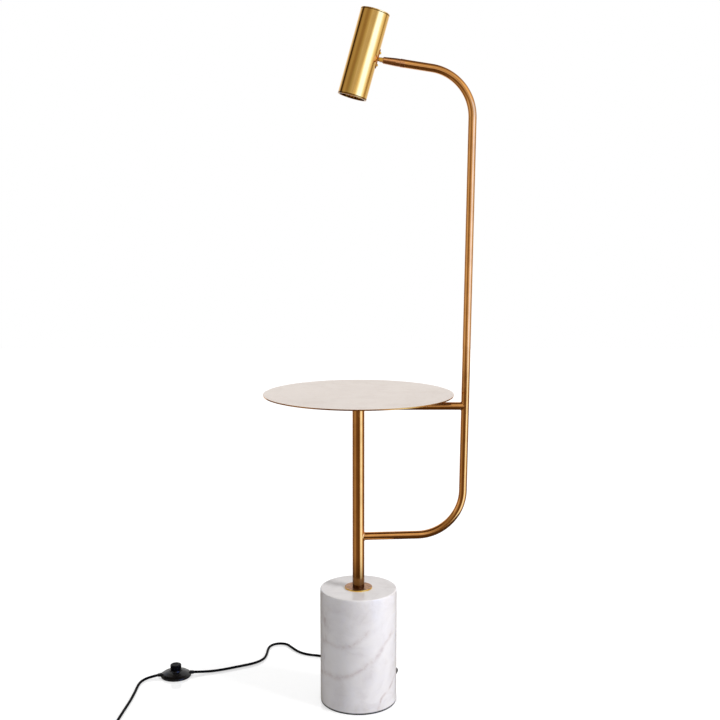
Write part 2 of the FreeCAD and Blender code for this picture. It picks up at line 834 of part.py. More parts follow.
def make_knuckle_fasteners():
    """A shouldered screw across the fork, its nut, and two friction washers."""
    half = size("fork_width") / 2
    pivot = V(0, 0, size("pivot_distance"))
    shank = rod("knuckle_shank", "knuckle_screw_diameter", "fork_width + knuckle_nut_height",
                pivot - V(0, half, 0), V(0, 1, 0))
    head = rod("knuckle_head", "knuckle_head_diameter", "knuckle_head_height",
               pivot - V(0, half + size("knuckle_head_height"), 0), V(0, 1, 0))
    solid = joined("knuckle_screw_solid", shank, head)
    slot_start = half + size("knuckle_head_height") + size("screw_slot_depth")
    slot = block("knuckle_screw_slot",
                 "2 * knuckle_head_diameter", "2 * screw_slot_depth", "screw_slot_width",
                 pivot - V(size("knuckle_head_diameter"), slot_start, size("screw_slot_width") / 2))
    keep(cut("knuckle_screw", solid, slot), SWIVEL_FRAME)

    nut_start = pivot + V(0, half, 0)
    blank = hexagon("knuckle_nut_blank", "knuckle_nut_width", "knuckle_nut_height", nut_start, V(0, 1, 0))
    hole = rod("knuckle_nut_hole", "knuckle_screw_diameter + 2 * plug_fit", "knuckle_nut_height",
               nut_start, V(0, 1, 0))
    keep(cut("knuckle_nut", blank, hole), SWIVEL_FRAME)

    rings = []
    outside = size("fork_slot") / 2 - size("turning_clearance")
    for side, start in (("front", -outside), ("back", outside - size("friction_washer_thickness"))):
        place = pivot + V(0, start, 0)
        disc = rod(f"washer_disc_{side}", "friction_washer_diameter", "friction_washer_thickness",
                   place, V(0, 1, 0))
        hole = rod(f"washer_hole_{side}", "knuckle_screw_diameter + 2 * plug_fit",
                   "friction_washer_thickness", place, V(0, 1, 0))
        rings.append(cut(f"friction_washer_{side}", disc, hole))
    keep(group("friction_washers", *rings), SWIVEL_FRAME)


def make_strip():
    """The curved strip with rounded ends that lies on the outside of the shell."""
    inner = "2 * (head_diameter / 2 + plug_fit)"
    half_length = size("strip_length") / 2
    half_width = size("strip_width") / 2
    station = size("knuckle_station")
    low = V(0, 0, station - half_length)
    barrel = rod("strip_barrel", inner + " + 2 * strip_thickness", "strip_length", low)
    wall = cut("strip_wall", barrel, rod("strip_bore", inner, "strip_length", low))
    outline = [
        block("strip_middle", "head_diameter", "strip_width", "strip_length - strip_width",
              low + V(0, -half_width, half_width)),
    ]
    for side in (-1, 1):
        name = "strip_top" if side > 0 else "strip_bottom"
        height = station + side * (half_length - half_width)
        outline.append(rod(name, "strip_width", "head_diameter", V(0, 0, height), V(1, 0, 0)))
    strip = doc.addObject("Part::Common", "strip")
    strip.Base = wall
    strip.Tool = joined("strip_outline", *outline)
    doc.recompute()
    return strip


def make_tongue():
    """The strip, and the tongue that stands on it at the pivot."""
    strip_face = size("head_diameter") / 2 + size("plug_fit")
    station = size("knuckle_station")
    half = size("tongue_thickness") / 2
    web = block(
        "tongue_web",
        "knuckle_standoff - plug_fit - strip_thickness / 2",
        "tongue_thickness",
        "2 * tongue_round",
        V(strip_face + size("strip_thickness") / 2, -half, station - size("tongue_round")),
    )
    pivot = V(PIVOT_OUT, 0, station)
    eye = rod("tongue_eye", "2 * tongue_round", "tongue_thickness", pivot - V(0, half, 0), V(0, 1, 0))
    solid = joined("tongue_solid", make_strip(), web, eye)
    tools = [
        rod("tongue_bore", "knuckle_screw_diameter + 2 * turning_clearance", "2 * tongue_thickness",
            pivot - V(0, 2 * half, 0), V(0, 1, 0)),
    ]
    for index, height in enumerate(head_screw_heights()):
        tools.append(rod(f"strip_screw_hole_{index}", "head_screw_diameter + 2 * plug_fit",
                         "2 * cutter_overrun",
                         V(strip_face - size("cutter_overrun"), 0, height), V(1, 0, 0)))
    keep(cut("knuckle_tongue", solid, *tools), HEAD_FRAME)


def head_screw_heights():
    """The two side screws sit as far above the knuckle as below it."""
    half = size("head_screw_spread") / 2
    return [size("knuckle_station") - half, size("knuckle_station") + half]


# --- Lamp head -------------------------------------------------------------------------


def make_head_shell():
    inner = "head_diameter / 2 - head_wall"
    tube = turned(
        "shell_blank",
        sleeve_outline("head_diameter / 2", inner, "front_ring_lip", "head_length - cap_thickness"),
    )
    inside = size("head_diameter") / 2 - size("cutter_overrun")
    holes = [
        rod(f"shell_screw_hole_{index}", "head_screw_diameter + 2 * plug_fit", "2 * cutter_overrun",
            V(inside, 0, height), V(1, 0, 0))
        for index, height in enumerate(head_screw_heights())
    ]
    keep(cut("head_shell", tube, *holes), HEAD_FRAME)


def make_head_ends():
    """The cap with its seam groove, and the front ring with its lip."""
    spigot = "head_diameter / 2 - head_wall - plug_fit"
    cap_low = "head_length - cap_thickness"
    corners = [
        ("0", "head_length"),
        ("0", cap_low),
        (spigot + " - ring_wall", cap_low),
        (spigot + " - ring_wall", cap_low + " - cap_spigot_length"),
        (spigot, cap_low + " - cap_spigot_length"),
        (spigot, cap_low),
        ("head_diameter / 2 - cap_seam", cap_low),
        ("head_diameter / 2 - cap_seam", cap_low + " + cap_seam"),
        ("head_diameter / 2", cap_low + " + cap_seam"),
        ("head_diameter / 2", "head_length"),
    ]
    cap = turned("head_cap", corners)
    rim = (size("head_diameter") / 2, size("head_length"))
    keep(round_rims(cap, "cap_rim_round", [rim]), HEAD_FRAME)

    corners = [
        ("front_ring_mouth / 2", "0"),
        ("head_diameter / 2", "0"),
        ("head_diameter / 2", "front_ring_lip - front_ring_seam"),
        ("head_diameter / 2 - front_ring_seam", "front_ring_lip - front_ring_seam"),
        ("head_diameter / 2 - front_ring_seam", "front_ring_lip"),
        (spigot, "front_ring_lip"),
        (spigot, "front_ring_length"),
        (spigot + " - ring_wall", "front_ring_length"),
        (spigot + " - ring_wall", "front_ring_lip * 2"),
        ("front_ring_mouth / 2", "front_ring_lip"),
    ]
    ring = turned("front_ring", corners)
    rims = [(size("head_diameter") / 2, 0), (size("front_ring_mouth") / 2, 0)]
    keep(round_rims(ring, "ring_edge_round", rims), HEAD_FRAME)


def make_bulb():
    """A reflector bulb with two pins, and its front glass."""
    face = "bulb_face_station"
    corners = [
        ("0", face + " + bulb_lens_thickness"),
        ("bulb_lens_diameter / 2 + plug_fit", face + " + bulb_lens_thickness"),
        ("bulb_lens_diameter / 2 + plug_fit", face),
        ("bulb_diameter / 2", face),
        ("bulb_diameter / 2", face + " + bulb_rim_height"),
        ("bulb_diameter / 2 - bulb_shoulder_inset", face + " + bulb_shoulder_height"),
        ("bulb_neck_diameter / 2 + bulb_neck_flare", face + " + bulb_flare_height"),
        ("bulb_neck_diameter / 2", face + " + bulb_neck_height"),
        ("bulb_neck_diameter / 2", face + " + bulb_height"),
        ("0", face + " + bulb_height"),
    ]
    reflector = turned("bulb_reflector", corners)
    top = size("bulb_face_station") + size("bulb_height")
    half = size("bulb_pin_spread") / 2
    pins = [
        rod(f"bulb_pin_{index}", "bulb_pin_diameter", "bulb_pin_length + 2", V(x, 0, top - 2))
        for index, x in enumerate((-half, half))
    ]
    keep(joined("bulb", reflector, *pins), HEAD_FRAME)
    lens_top = face + " + bulb_lens_thickness"
    keep(turned("bulb_lens", sleeve_outline("bulb_lens_diameter / 2", "0", face, lens_top)), HEAD_FRAME)


def make_holder():
    """The ceramic holder on the bulb's pins, its bracket, and two screws."""
    low = size("bulb_face_station") + size("bulb_height") + size("holder_gap")
    top = low + size("holder_height")
    barrel = rod("holder_barrel", "holder_diameter", "holder_height", V(0, 0, low))
    half = size("bulb_pin_spread") / 2
    sockets = [
        rod(f"holder_socket_{index}", "bulb_pin_diameter + socket_room", "bulb_pin_length + 1", V(x, 0, low))
        for index, x in enumerate((-half, half))
    ]
    screw_half = size("holder_screw_spread") / 2
    screw_places = [V(size("holder_screw_offset"), y, 0) for y in (-screw_half, screw_half)]
    taps = [
        rod(f"holder_tap_{index}", "holder_screw_diameter + 2 * plug_fit", "holder_tap_depth",
            place + V(0, 0, top - size("holder_tap_depth")))
        for index, place in enumerate(screw_places)
    ]
    keep(cut("lamp_holder", barrel, *sockets, *taps), HEAD_FRAME)

    leg_face = size("bracket_leg_face")
    thickness = size("bracket_thickness")
    reach = size("bracket_foot_reach")
    foot = block("bracket_foot", "bracket_leg_face + bracket_foot_reach", "bracket_width",
                 "bracket_thickness", V(-reach, -size("bracket_width") / 2, top))
    leg_low = size("knuckle_station") - size("strip_length") / 2
    leg = block("bracket_leg", "bracket_thickness", "bracket_width", "strip_length",
                V(leg_face - thickness, -size("bracket_width") / 2, leg_low))
    solid = joined("bracket_solid", foot, leg)
    holes = [
        rod(f"bracket_hole_{index}", "holder_screw_diameter + 2 * plug_fit", "2 * bracket_thickness",
            place + V(0, 0, top - thickness / 2))
        for index, place in enumerate(screw_places)
    ]
    for index, height in enumerate(head_screw_heights()):
        holes.append(rod(f"bracket_side_hole_{index}", "head_screw_diameter + 2 * plug_fit",
                         "4 * bracket_thickness", V(leg_face - 2 * thickness, 0, height), V(1, 0, 0)))
    keep(cut("holder_bracket", solid, *holes), HEAD_FRAME)

    screws = []
    for index, place in enumerate(screw_places):
        shank = rod(f"holder_screw_shank_{index}", "holder_screw_diameter",
                    "holder_screw_grip + bracket_thickness",
                    place + V(0, 0, top - size("holder_screw_grip")))
        head = rod(f"holder_screw_head_{index}", "holder_screw_head", "holder_screw_head_height",
                   place + V(0, 0, top + thickness))
        screws.append(joined(f"holder_screw_{index}", shank, head))
    keep(group("holder_screws", *screws), HEAD_FRAME)


def make_head_screws():
    """Two dome-headed screws that hold the strip on the shell and the bracket inside it."""
    outside = size("head_diameter") / 2 + size("plug_fit") + size("strip_thickness")
    start = outside + size("head_screw_overlap") - size("head_screw_length")
    slot_depth = size("dome_slot_depth")
    slot_width = size("dome_slot_width")
    screws = []
    for index, height in enumerate(head_screw_heights()):
        shank = rod(f"head_screw_shank_{index}", "head_screw_diameter", "head_screw_length",
                    V(start, 0, height), V(1, 0, 0))
        dome = doc.addObject("Part::Sphere", f"head_screw_ball_{index}")
        radius = size("head_screw_head") / 2
        bind(dome, Radius="head_screw_head / 2")
        dome.Placement.Base = V(outside + size("head_screw_dome") - radius, 0, height)
        slab = block(f"head_screw_slab_{index}", "head_screw_dome", "head_screw_head", "head_screw_head",
                     V(outside, -radius, height - radius))
        cap = doc.addObject("Part::Common", f"head_screw_dome_{index}")
        cap.Base = dome
        cap.Tool = slab
        slot = block(f"head_screw_slot_{index}", "2 * dome_slot_depth", "dome_slot_width",
                     "2 * head_screw_head",
                     V(outside + size("head_screw_dome") - slot_depth, -slot_width / 2,
                       height - size("head_screw_head")))
        doc.recompute()
        solid = joined(f"head_screw_solid_{index}", shank, cap)
        screws.append(cut(f"head_screw_{index}", solid, slot))
    keep(group("head_screws", *screws), HEAD_FRAME)


def make_terminal():
    """The two-pole terminal block above the holder, and the two leads down to it."""
    station = size("terminal_station")
    width = size("terminal_width")
    depth = size("terminal_depth")
    body = block("terminal_blank", "terminal_depth", "terminal_width", "terminal_height",
                 V(-depth / 2, -width / 2, station))
    tunnels = []
    pole = size("terminal_pole_spread") / 2
    for index, y in enumerate((-pole, pole)):
        tunnels.append(rod(f"terminal_tunnel_{index}", "lead_diameter + socket_room",
                           "2 * terminal_height", V(0, y, station - 1)))
        tunnels.append(rod(f"terminal_screw_well_{index}", "terminal_screw_well",
                           "terminal_depth / 2 - terminal_web",
                           V(size("terminal_web"), y, station + size("terminal_height") / 2), V(1, 0, 0)))
    keep(cut("terminal_block", body, *tunnels), HEAD_FRAME)

    holder_low = size("bulb_face_station") + size("bulb_height") + size("holder_gap")
    holder_top = holder_low + size("holder_height")
    wide = size("lead_holder_spread") / 2
    leads = []
    for index, side in enumerate((-1, 1)):
        route = [
            V(0, side * wide, holder_top),
            V(0, side * wide, holder_top + size("lead_straight")),
            V(0, side * pole, holder_top + size("lead_crossing")),
            V(0, side * pole, station + size("lead_into_terminal")),
        ]
        leads.append(from_shape(f"head_lead_{index}", tube_along(route, size("lead_diameter"))[0]))
    keep(group("head_leads", *leads), HEAD_FRAME)


# --- Flexible lead ----------------------------------------------------------------------


def route_wire(points, given=None):
    """Straight runs joined by tangent arcs, each of a given radius or as large as its runs allow."""
    edges = []
    radii = []
    reached = points[0]
    for index, (before, corner, after) in enumerate(zip(points, points[1:], points[2:])):
        back = before - corner
        onward = after - corner
        shorter = min(back.Length, onward.Length)
        half_turn = (math.pi - back.getAngle(onward)) / 2
        radius = 0.45 * shorter / math.tan(half_turn)
        if given and given.get(index + 1):
            radius = given[index + 1]
        into, middle, out = rounded_corner(before, corner, after, radius)
        edges.append(Part.LineSegment(reached, into).toShape())
        edges.append(Part.Arc(into, middle, out).toShape())
        radii.append(radius)
        reached = out
    edges.append(Part.LineSegment(reached, points[-1]).toShape())
    return Part.Wire(edges), radii


def pipe_on(wire, start, way, diameter):
    """A round tube swept along a wire."""
    circle = Part.Wire(Part.makeCircle(diameter / 2, start, way))
    shell = Part.BRepOffsetAPI.MakePipeShell(wire)
    shell.add(circle)
    shell.build()
    shell.makeSolid()
    return shell.shape()


def tube_along(points, diameter, given=None):
    """The cord's tube along hand-laid points, with its length and bend radii."""
    wire, radii = route_wire(points, given)
    solid = pipe_on(wire, points[0], points[1] - points[0], diameter)
    expected = math.pi * diameter ** 2 / 4 * wire.Length
    print(f"  tube {wire.Length:7.1f} long, volume {solid.Volume / expected:.4f} of section x length,"
          f" least radius {min(radii):.1f}")
    return solid, wire.Length, radii


CORD_Z = size("cord_height")
COIL_X = size("coil_centre_x")
COIL_Y = size("coil_centre_y")

# From the bush at the back of the foot, over the floor behind it, to the switch.
SWITCH_ROUTE = [
    EXIT_WAY * size("cord_joint_reach") + EXIT_RISE,
    EXIT_WAY * 86 + EXIT_RISE,
    EXIT_WAY * 93.8 + V(0, 0, 35.2),
    EXIT_WAY * 94 + V(0, 0, 22),
    V(74, 61, 9.5),
    V(64, 80, CORD_Z),
    V(46, 108, CORD_Z),
    V(15, 143, CORD_Z),
    V(-30, 176, CORD_Z),
    V(-80, 201, CORD_Z),
    V(-110, 210.5, CORD_Z),
    V(-129, 228, CORD_Z),
    V(-147, 257, CORD_Z),
    V(-162.6, 265.2, CORD_Z),
    V(-180, 263, CORD_Z),
    V(-193, 251.5, CORD_Z),
    V(-199, 229, CORD_Z),
    V(-201, 200, CORD_Z),
    V(-210, 177, CORD_Z),
    V(-229, 159, CORD_Z),
    V(-256, 144.5, CORD_Z),
    V(-288, 128, CORD_Z),
    V(-319, 118, CORD_Z),
]

# From the switch out of the picture's lower edge, to the coil.
COIL_ROUTE = [
    V(-431, 91.5, 3.4),
    V(-442.5, 81, CORD_Z),
    V(-448.3, 65.5, CORD_Z),
    V(-449.5, 47, CORD_Z),
    V(-449, 18, CORD_Z),
    V(-450, -18, CORD_Z),
    V(-453, -58, CORD_Z),
    V(-456, -100, CORD_Z),
]

# From the coil's top layer round its near side, to the plug.
PLUG_ROUTE = [
    V(-453.575, -196, 9.35),
    V(-447, -213, 8.6),
    V(-434, -225, 7.6),
    V(-417, -230, 6.85),
]


def switch_end(side):
    """Where the cord meets the switch: side 1 faces the lamp, side -1 the coil."""
    turn = math.radians(size("switch_turn"))
    reach = side * size("switch_port_reach")
    return V(
        size("switch_centre_x") + reach * math.cos(turn),
        size("switch_centre_y") + reach * math.sin(turn),
        size("switch_port_height"),
    )


def coil_stations():
    """Points half a turn apart: in, up a layer, and out again."""
    half_pitch = size("coil_pitch") / 2
    half_turns = int(round(size("coil_turns") * 2))
    inward = half_turns // 2
    outer = size("coil_mean_radius") + half_pitch * inward / 2
    stations = []
    for index in range(half_turns + 1):
        if index <= inward:
            radius = outer - half_pitch * index
            height = size("coil_height")
        else:
            radius = outer - half_pitch * (2 * inward + 1 - index)
            height = size("coil_height") + size("coil_layer_step")
        side = -1 if index % 2 == 0 else 1
        stations.append((V(COIL_X + side * radius, COIL_Y, height), V(0, side, 0)))
    return stations


def biarc(start, start_way, end, end_way):
    """Two arcs that join two points in two given directions."""
    gap = end - start
    ways = start_way + end_way
    spread = 2 * (1 - start_way.dot(end_way))
    lean = gap.dot(ways)
    reach = (-lean + math.sqrt(lean ** 2 + spread * gap.dot(gap))) / spread
    first = start + start_way * reach
    second = end - end_way * reach
    middle = (first + second) * 0.5
    return [arc_from(start, start_way, middle), arc_from(end, end_way * -1, middle)]


def arc_from(start, way, end):
    """The arc that leaves start in a direction and ends at a point."""
    chord = end - start
    across = chord - way * chord.dot(way)
    across.normalize()
    radius = chord.dot(chord) / (2 * chord.dot(across))
    centre = start + across * radius
    to_middle = (start + end) * 0.5 - centre
    to_middle.normalize()
    return Part.Arc(start, centre + to_middle * radius, end)


def coil_wire():
    stations = coil_stations()
    straight = size("coil_end_straight")
    first, first_way = stations[0]
    last, last_way = stations[-1]
    edges = [Part.LineSegment(first - first_way * straight, first).toShape()]
    for (start, start_way), (end, end_way) in zip(stations, stations[1:]):
        edges += [arc.toShape() for arc in biarc(start, start_way, end, end_way)]
    edges.append(Part.LineSegment(last, last + last_way * straight).toShape())
    ordered = Part.Wire(Part.__sortEdges__(edges))
    return ordered, first - first_way * straight, last + last_way * straight


def least_gap(wire, diameter):
    """The least distance between the coil's own turns, measured on points."""
    spacing = 2
    points = wire.discretize(Distance=spacing)
    skip = int(3 * diameter / spacing)
    least = wire.Length
    for index, point in enumerate(points):
        for other in points[index + skip:]:
            least = min(least, (point - other).Length)
    return least - diameter


def make_bush():
    """The tapered cord bush in the marble's side hole."""
    cord = "cord_diameter / 2 + cord_slip"
    seat = "base_diameter / 2 + bush_seat_gap"
    corners = [
        (cord, "bush_inner_reach"),
        ("bush_hole / 2 - plug_fit", "bush_inner_reach"),
        ("bush_hole / 2 - plug_fit", seat),
        ("bush_shoulder / 2", seat),
        ("bush_shoulder / 2", "base_diameter / 2 + bush_flange"),
        ("cord_diameter / 2 + bush_taper_wall", "base_diameter / 2 + bush_taper_start"),
        ("cord_diameter / 2 + bush_tip_wall", "base_diameter / 2 + bush_tip_reach"),
        (cord, "base_diameter / 2 + bush_tip_reach"),
    ]
    bush = turned("cord_bush", corners)
    keep(bush, FreeCAD.Placement(EXIT_RISE, FreeCAD.Rotation(V(0, 0, 1), EXIT_WAY)))


def make_cords():
    diameter = size("cord_diameter")
    total = 0
    print("cord to switch")
    route = SWITCH_ROUTE + [switch_end(1)]
    solid, length, radii = tube_along(route, diameter)
    print("  radii", [round(radius, 1) for radius in radii])
    total += length
    keep(from_shape("cord_to_switch", solid))

    wire, coil_start, coil_end = coil_wire()
    print("cord to coil")
    lead_in = coil_start + V(0, size("coil_lead_in"), 0)
    route = [switch_end(-1)] + COIL_ROUTE + [lead_in, coil_start]
    solid, length, radii = tube_along(route, diameter)
    print("  radii", [round(radius, 1) for radius in radii])
    total += length
    keep(from_shape("cord_to_coil", solid))

    solid = pipe_on(wire, coil_start, V(0, -1, 0), diameter)
    expected = math.pi * diameter ** 2 / 4 * wire.Length
    print(f"coil {wire.Length:.1f} long, volume {solid.Volume / expected:.4f} of section x length,"
          f" least gap {least_gap(wire, diameter):.2f}")
    total += wire.Length
    keep(from_shape("cord_coil", solid))

    print("cord to plug")
    relief_start = V(size("plug_x") - size("plug_relief_length"), size("plug_y"), size("plug_height"))
    route = [coil_end] + PLUG_ROUTE + [relief_start]
    solid, length, radii = tube_along(route, diameter)
    print("  radii", [round(radius, 1) for radius in radii])
    total += length
    keep(from_shape("cord_to_plug", solid))
    print(f"whole cord {total:.0f} mm")


def make_inner_flex():
    """The lead inside the foot, column and arm, from the bush up to the swivel."""
    arm_start, low_bend, high_bend, arm_end = [V(point.x, 0, point.y) for point in arm_path()]
    port_reach = size("flex_port_turn")
    into_arm = arm_start + (low_bend - arm_start).normalize() * port_reach
    route = [
        EXIT_WAY * size("cord_joint_reach") + EXIT_RISE,
        EXIT_WAY * 36 + EXIT_RISE,
        EXIT_WAY * 21 + EXIT_RISE - V(0, 0, 6),
        EXIT_WAY * 8 + EXIT_RISE - V(0, 0, 11),
        EXIT_RISE - V(0, 0, 3),
        arm_start - V(0, 0, port_reach),
        into_arm,
        low_bend,
        high_bend,
        arm_end + ALONG_ARM * size("stub_shaft_length"),
    ]
    bends = {route.index(bend): size("arm_bend_radius") for bend in (low_bend, high_bend)}
    print("lead inside the foot, column and arm")
    solid, length, radii = tube_along(route, size("flex_diameter"), bends)
    print("  radii", [round(radius, 1) for radius in radii])
    keep(from_shape("inner_flex", solid))


def make_tie():
    """A flat band round the coil's bundle."""
    turns = [place.x for place, way in coil_stations() if place.x > COIL_X]
    around = size("cord_diameter") / 2 + size("tie_room")
    inner_left = min(turns) - around
    inner_right = max(turns) + around
    thickness = size("tie_thickness")
    width = size("tie_width")
    corner = size("tie_corner")
    low = size("tie_floor_gap") + thickness
    top_layer = size("coil_height") + size("coil_layer_step") + size("cord_diameter") / 2
    high = top_layer + size("tie_top_gap")
    outer = rounded_box(inner_left - thickness, inner_right + thickness, low - thickness,
                        high + thickness, corner, width)
    inner = rounded_box(inner_left, inner_right, low, high, corner - thickness, width)
    keep(from_shape("coil_tie", outer.cut(inner)))


def rounded_box(left, right, low, high, corner, width):
    """A box round the coil's section, with its four long edges rounded."""
    box = Part.makeBox(right - left, width, high - low, V(left, COIL_Y - width / 2, low))
    long_edges = [edge for edge in box.Edges if edge.BoundBox.YLength > width / 2]
    return box.makeFillet(corner, long_edges)


# --- Foot switch ------------------------------------------------------------------------


def switch_frame():
    place = V(size("switch_centre_x"), size("switch_centre_y"), 0)
    return FreeCAD.Placement(place, FreeCAD.Rotation(V(0, 0, 1), size("switch_turn")))


def make_switch():
    """A low domed housing on a screwed base, with a button in its middle."""
    frame = switch_frame()
    rim = "switch_diameter / 2"
    wall = "switch_wall"
    opening = "button_diameter / 2 + button_gap"
    edge_top = "switch_edge_height + "
    shoulder = rim + " - housing_shoulder_inset"
    dome = rim + " - housing_dome_inset"
    corners = [
        (rim + " - " + wall, "housing_floor_gap"),
        (rim, "housing_floor_gap"),
        (rim, "switch_edge_height"),
        (shoulder, edge_top + "housing_shoulder_rise"),
        (dome, edge_top + "housing_dome_rise"),
        (opening + " + housing_collar_foot", edge_top + "housing_collar_foot_rise"),
        (opening + " + housing_collar_width", edge_top + "housing_collar_rise"),
        (opening, edge_top + "housing_collar_rise"),
        (opening, edge_top + "housing_collar_rise - housing_collar_depth"),
        (dome, edge_top + "housing_dome_rise - housing_skin"),
        (shoulder + " - housing_inner_step", edge_top + "housing_shoulder_rise - housing_skin"),
        (rim + " - " + wall, "switch_edge_height - housing_corner_drop"),
    ]
    housing = turned("housing_blank", corners)
    edge = size("switch_diameter") / 2
    height = size("switch_edge_height")
    dome_rims = [
        (edge - size("housing_shoulder_inset"), height + size("housing_shoulder_rise")),
        (edge - size("housing_dome_inset"), height + size("housing_dome_rise")),
    ]
    collar_rim = (
        size("button_diameter") / 2 + size("button_gap") + size("housing_collar_width"),
        height + size("housing_collar_rise"),
    )
    round_rims(housing, "housing_edge_round", [(edge, height)])
    round_rims(housing, "housing_dome_round", dome_rims)
    round_rims(housing, "ring_edge_round", [collar_rim])
    port_height = size("switch_port_height")
    ports = []
    holes = []
    for side in (-1, 1):
        name = "lamp" if side > 0 else "mains"
        port = doc.addObject("Part::Cone", f"switch_port_{name}")
        bind(port, Radius1="cord_diameter / 2 + port_root_wall",
             Radius2="cord_diameter / 2 + port_tip_wall",
             Height="switch_port_reach - switch_diameter / 2 + port_sink")
        port.Placement = FreeCAD.Placement(
            V(side * (edge - size("port_sink")), 0, port_height),
            FreeCAD.Rotation(V(0, 0, 1), V(side, 0, 0)),
        )
        ports.append(port)
        start = V(side * (edge - size("port_hole_inset")), 0, port_height)
        holes.append(rod(f"switch_cord_hole_{name}", "cord_diameter + 2 * cord_slip",
                         "4 * cutter_overrun", start, V(side, 0, 0)))
    shell = joined("housing_solid", housing, *ports)
    keep(cut("switch_housing", shell, *holes), frame)

    make_switch_base(frame)
    make_switch_button(frame)
    make_switch_inside(frame)


def make_switch_base(frame):
    """The plate under the switch, and the three screws that hold the housing to it."""
    radius = "switch_diameter / 2 - switch_wall - switch_base_room"
    plate = turned("switch_plate", sleeve_outline(radius, "0", "0", "switch_base_thickness"))
    places = round_a_circle(3, size("switch_screw_circle") / 2, 90)
    tools = []
    screws = []
    for index, place in enumerate(places):
        tools.append(rod(f"switch_screw_well_{index}", "switch_screw_well", "switch_screw_well_depth", place))
        tools.append(rod(f"switch_screw_drill_{index}", "switch_screw_hole",
                         "switch_base_thickness + 1", place))
        low = place + V(0, 0, size("switch_screw_sink"))
        head = rod(f"switch_screw_top_{index}", "switch_screw_head", "switch_screw_head_height", low)
        shank = rod(f"switch_screw_shank_{index}", "switch_screw_diameter", "switch_screw_length", low)
        screws.append(joined(f"switch_screw_{index}", head, shank))
    keep(cut("switch_base", plate, *tools), frame)
    keep(group("switch_screws", *screws), frame)


def make_switch_button(frame):
    """The hollow button, with a dished top and the flange that keeps it in."""
    outer = "button_diameter / 2"
    flange = "button_diameter / 2 + button_flange"
    flange_low = "button_bottom - button_flange_thickness"
    corners = [
        ("0", "button_top - button_dish"),
        ("0", "button_top - button_skin"),
        (outer + " - button_side_wall", "button_top - button_skin"),
        (outer + " - button_side_wall", flange_low),
        (flange, flange_low),
        (flange, "button_bottom"),
        (outer, "button_bottom"),
        (outer, "button_top - button_cap_height"),
        (outer + " + button_cap_overhang", "button_top - button_cap_height"),
        (outer + " + button_cap_overhang", "button_top"),
        (outer + " - button_rim", "button_top"),
    ]
    button = turned("switch_button", corners)
    rim_place = (size("button_diameter") / 2 + size("button_cap_overhang"), size("button_top"))
    keep(round_rims(button, "button_round", [rim_place]), frame)


def make_switch_inside(frame):
    """The latching block, whose plunger the pressed button just reaches, and the spring round it."""
    low = size("switch_base_thickness")
    block_top = low + size("block_height")
    under_button = size("button_top") - size("button_skin")
    corner = V(-size("block_length") / 2, -size("block_width") / 2, low)
    body = block("switch_block_body", "block_length", "block_width", "block_height", corner)
    root = block_top - size("plunger_root")
    plunger_top = under_button - size("button_travel") - size("turning_clearance")
    plunger = rod("switch_block_plunger", "plunger_diameter", plunger_top - root, V(0, 0, root))
    keep(joined("switch_block", body, plunger), frame)

    wire = size("spring_wire")
    radius = size("spring_diameter") / 2
    lowest = block_top + size("spring_seat_gap") + wire / 2
    rise = under_button - size("spring_top_gap") - wire / 2 - lowest
    helix = Part.makeHelix(rise / size("spring_turns"), rise, radius)
    helix.Placement.Base = V(0, 0, lowest)
    spring = pipe_on(Part.Wire(helix.Edges), V(radius, 0, lowest), V(0, 1, 0), wire)
    keep(from_shape("switch_spring", spring), frame)


# --- Plug ---------------------------------------------------------------------------------


def make_plug():
    """A flat two-pin plug lying on the floor, its pins along +X."""
    height = size("plug_height")
    frame = FreeCAD.Placement(V(size("plug_x"), size("plug_y"), height), FreeCAD.Rotation())
    relief = turned(
        "plug_relief",
        [
            ("0", "0 - plug_relief_length"),
            ("cord_diameter / 2 + relief_tip_wall", "0 - plug_relief_length"),
            ("cord_diameter / 2 + relief_root_wall", "0"),
            ("0", "0"),
        ],
    )
    lying = FreeCAD.Rotation(V(0, 0, 1), V(1, 0, 0))
    keep(relief, FreeCAD.Placement(frame.Base, lying))

    half_width = "plug_width / 2"
    corners = [
        ("0", half_width + " - plug_nose_taper"),
        ("plug_nose_length", half_width),
        ("plug_length - plug_end_length", half_width),
        ("plug_length", half_width + " - plug_end_taper"),
        ("plug_length", "plug_end_taper - " + half_width),
        ("plug_length - plug_end_length", "0 - " + half_width),
        ("plug_nose_length", "0 - " + half_width),
        ("0", "plug_nose_taper - " + half_width),
    ]
    body = padded("plug_body", corners, "plug_depth", "XY_Plane")
    flat_edges = level_edges(body, -size("plug_depth"), size("plug_depth"))
    base = body.Tip
    rounding = body.newObject("PartDesign::Fillet", "plug_rounding")
    rounding.Base = (base, flat_edges)
    bind(rounding, Radius="plug_round")
    doc.recompute()
    keep(body, frame)

    half = size("plug_pin_spread") / 2
    pins = []
    for index, y in enumerate((-half, half)):
        pin = turned(
            f"plug_pin_{index}",
            sleeve_outline("plug_pin_diameter / 2", "0", "0", "plug_pin_length"),
        )
        tip_rim = (size("plug_pin_diameter") / 2, size("plug_pin_length"))
        round_rims(pin, "plug_pin_tip_round", [tip_rim])
        pin.Placement = FreeCAD.Placement(V(size("plug_length"), y, 0), lying)
        pins.append(pin)
    keep(group("plug_pins", *pins), frame)


# --- Build and write ------------------------------------------------------------------------

make_foot()
make_column()
make_table()
make_arm()
make_cross_bar()
make_swivel()
make_fork()
make_knuckle_fasteners()
make_tongue()
make_head_shell()
make_head_ends()
make_bulb()
make_holder()
make_head_screws()
make_terminal()
make_bush()
make_inner_flex()
make_cords()
make_tie()
make_switch()
make_plug()
doc.recompute()

for thing in doc.Objects:
    if "Invalid" in thing.State or "Error" in thing.State:
        raise RuntimeError(f"{thing.Name} failed: {thing.State}")
for piece in pieces:
    if piece.Shape.isNull() or not piece.Shape.isValid():
        raise RuntimeError(f"{piece.Label} has no valid shape")

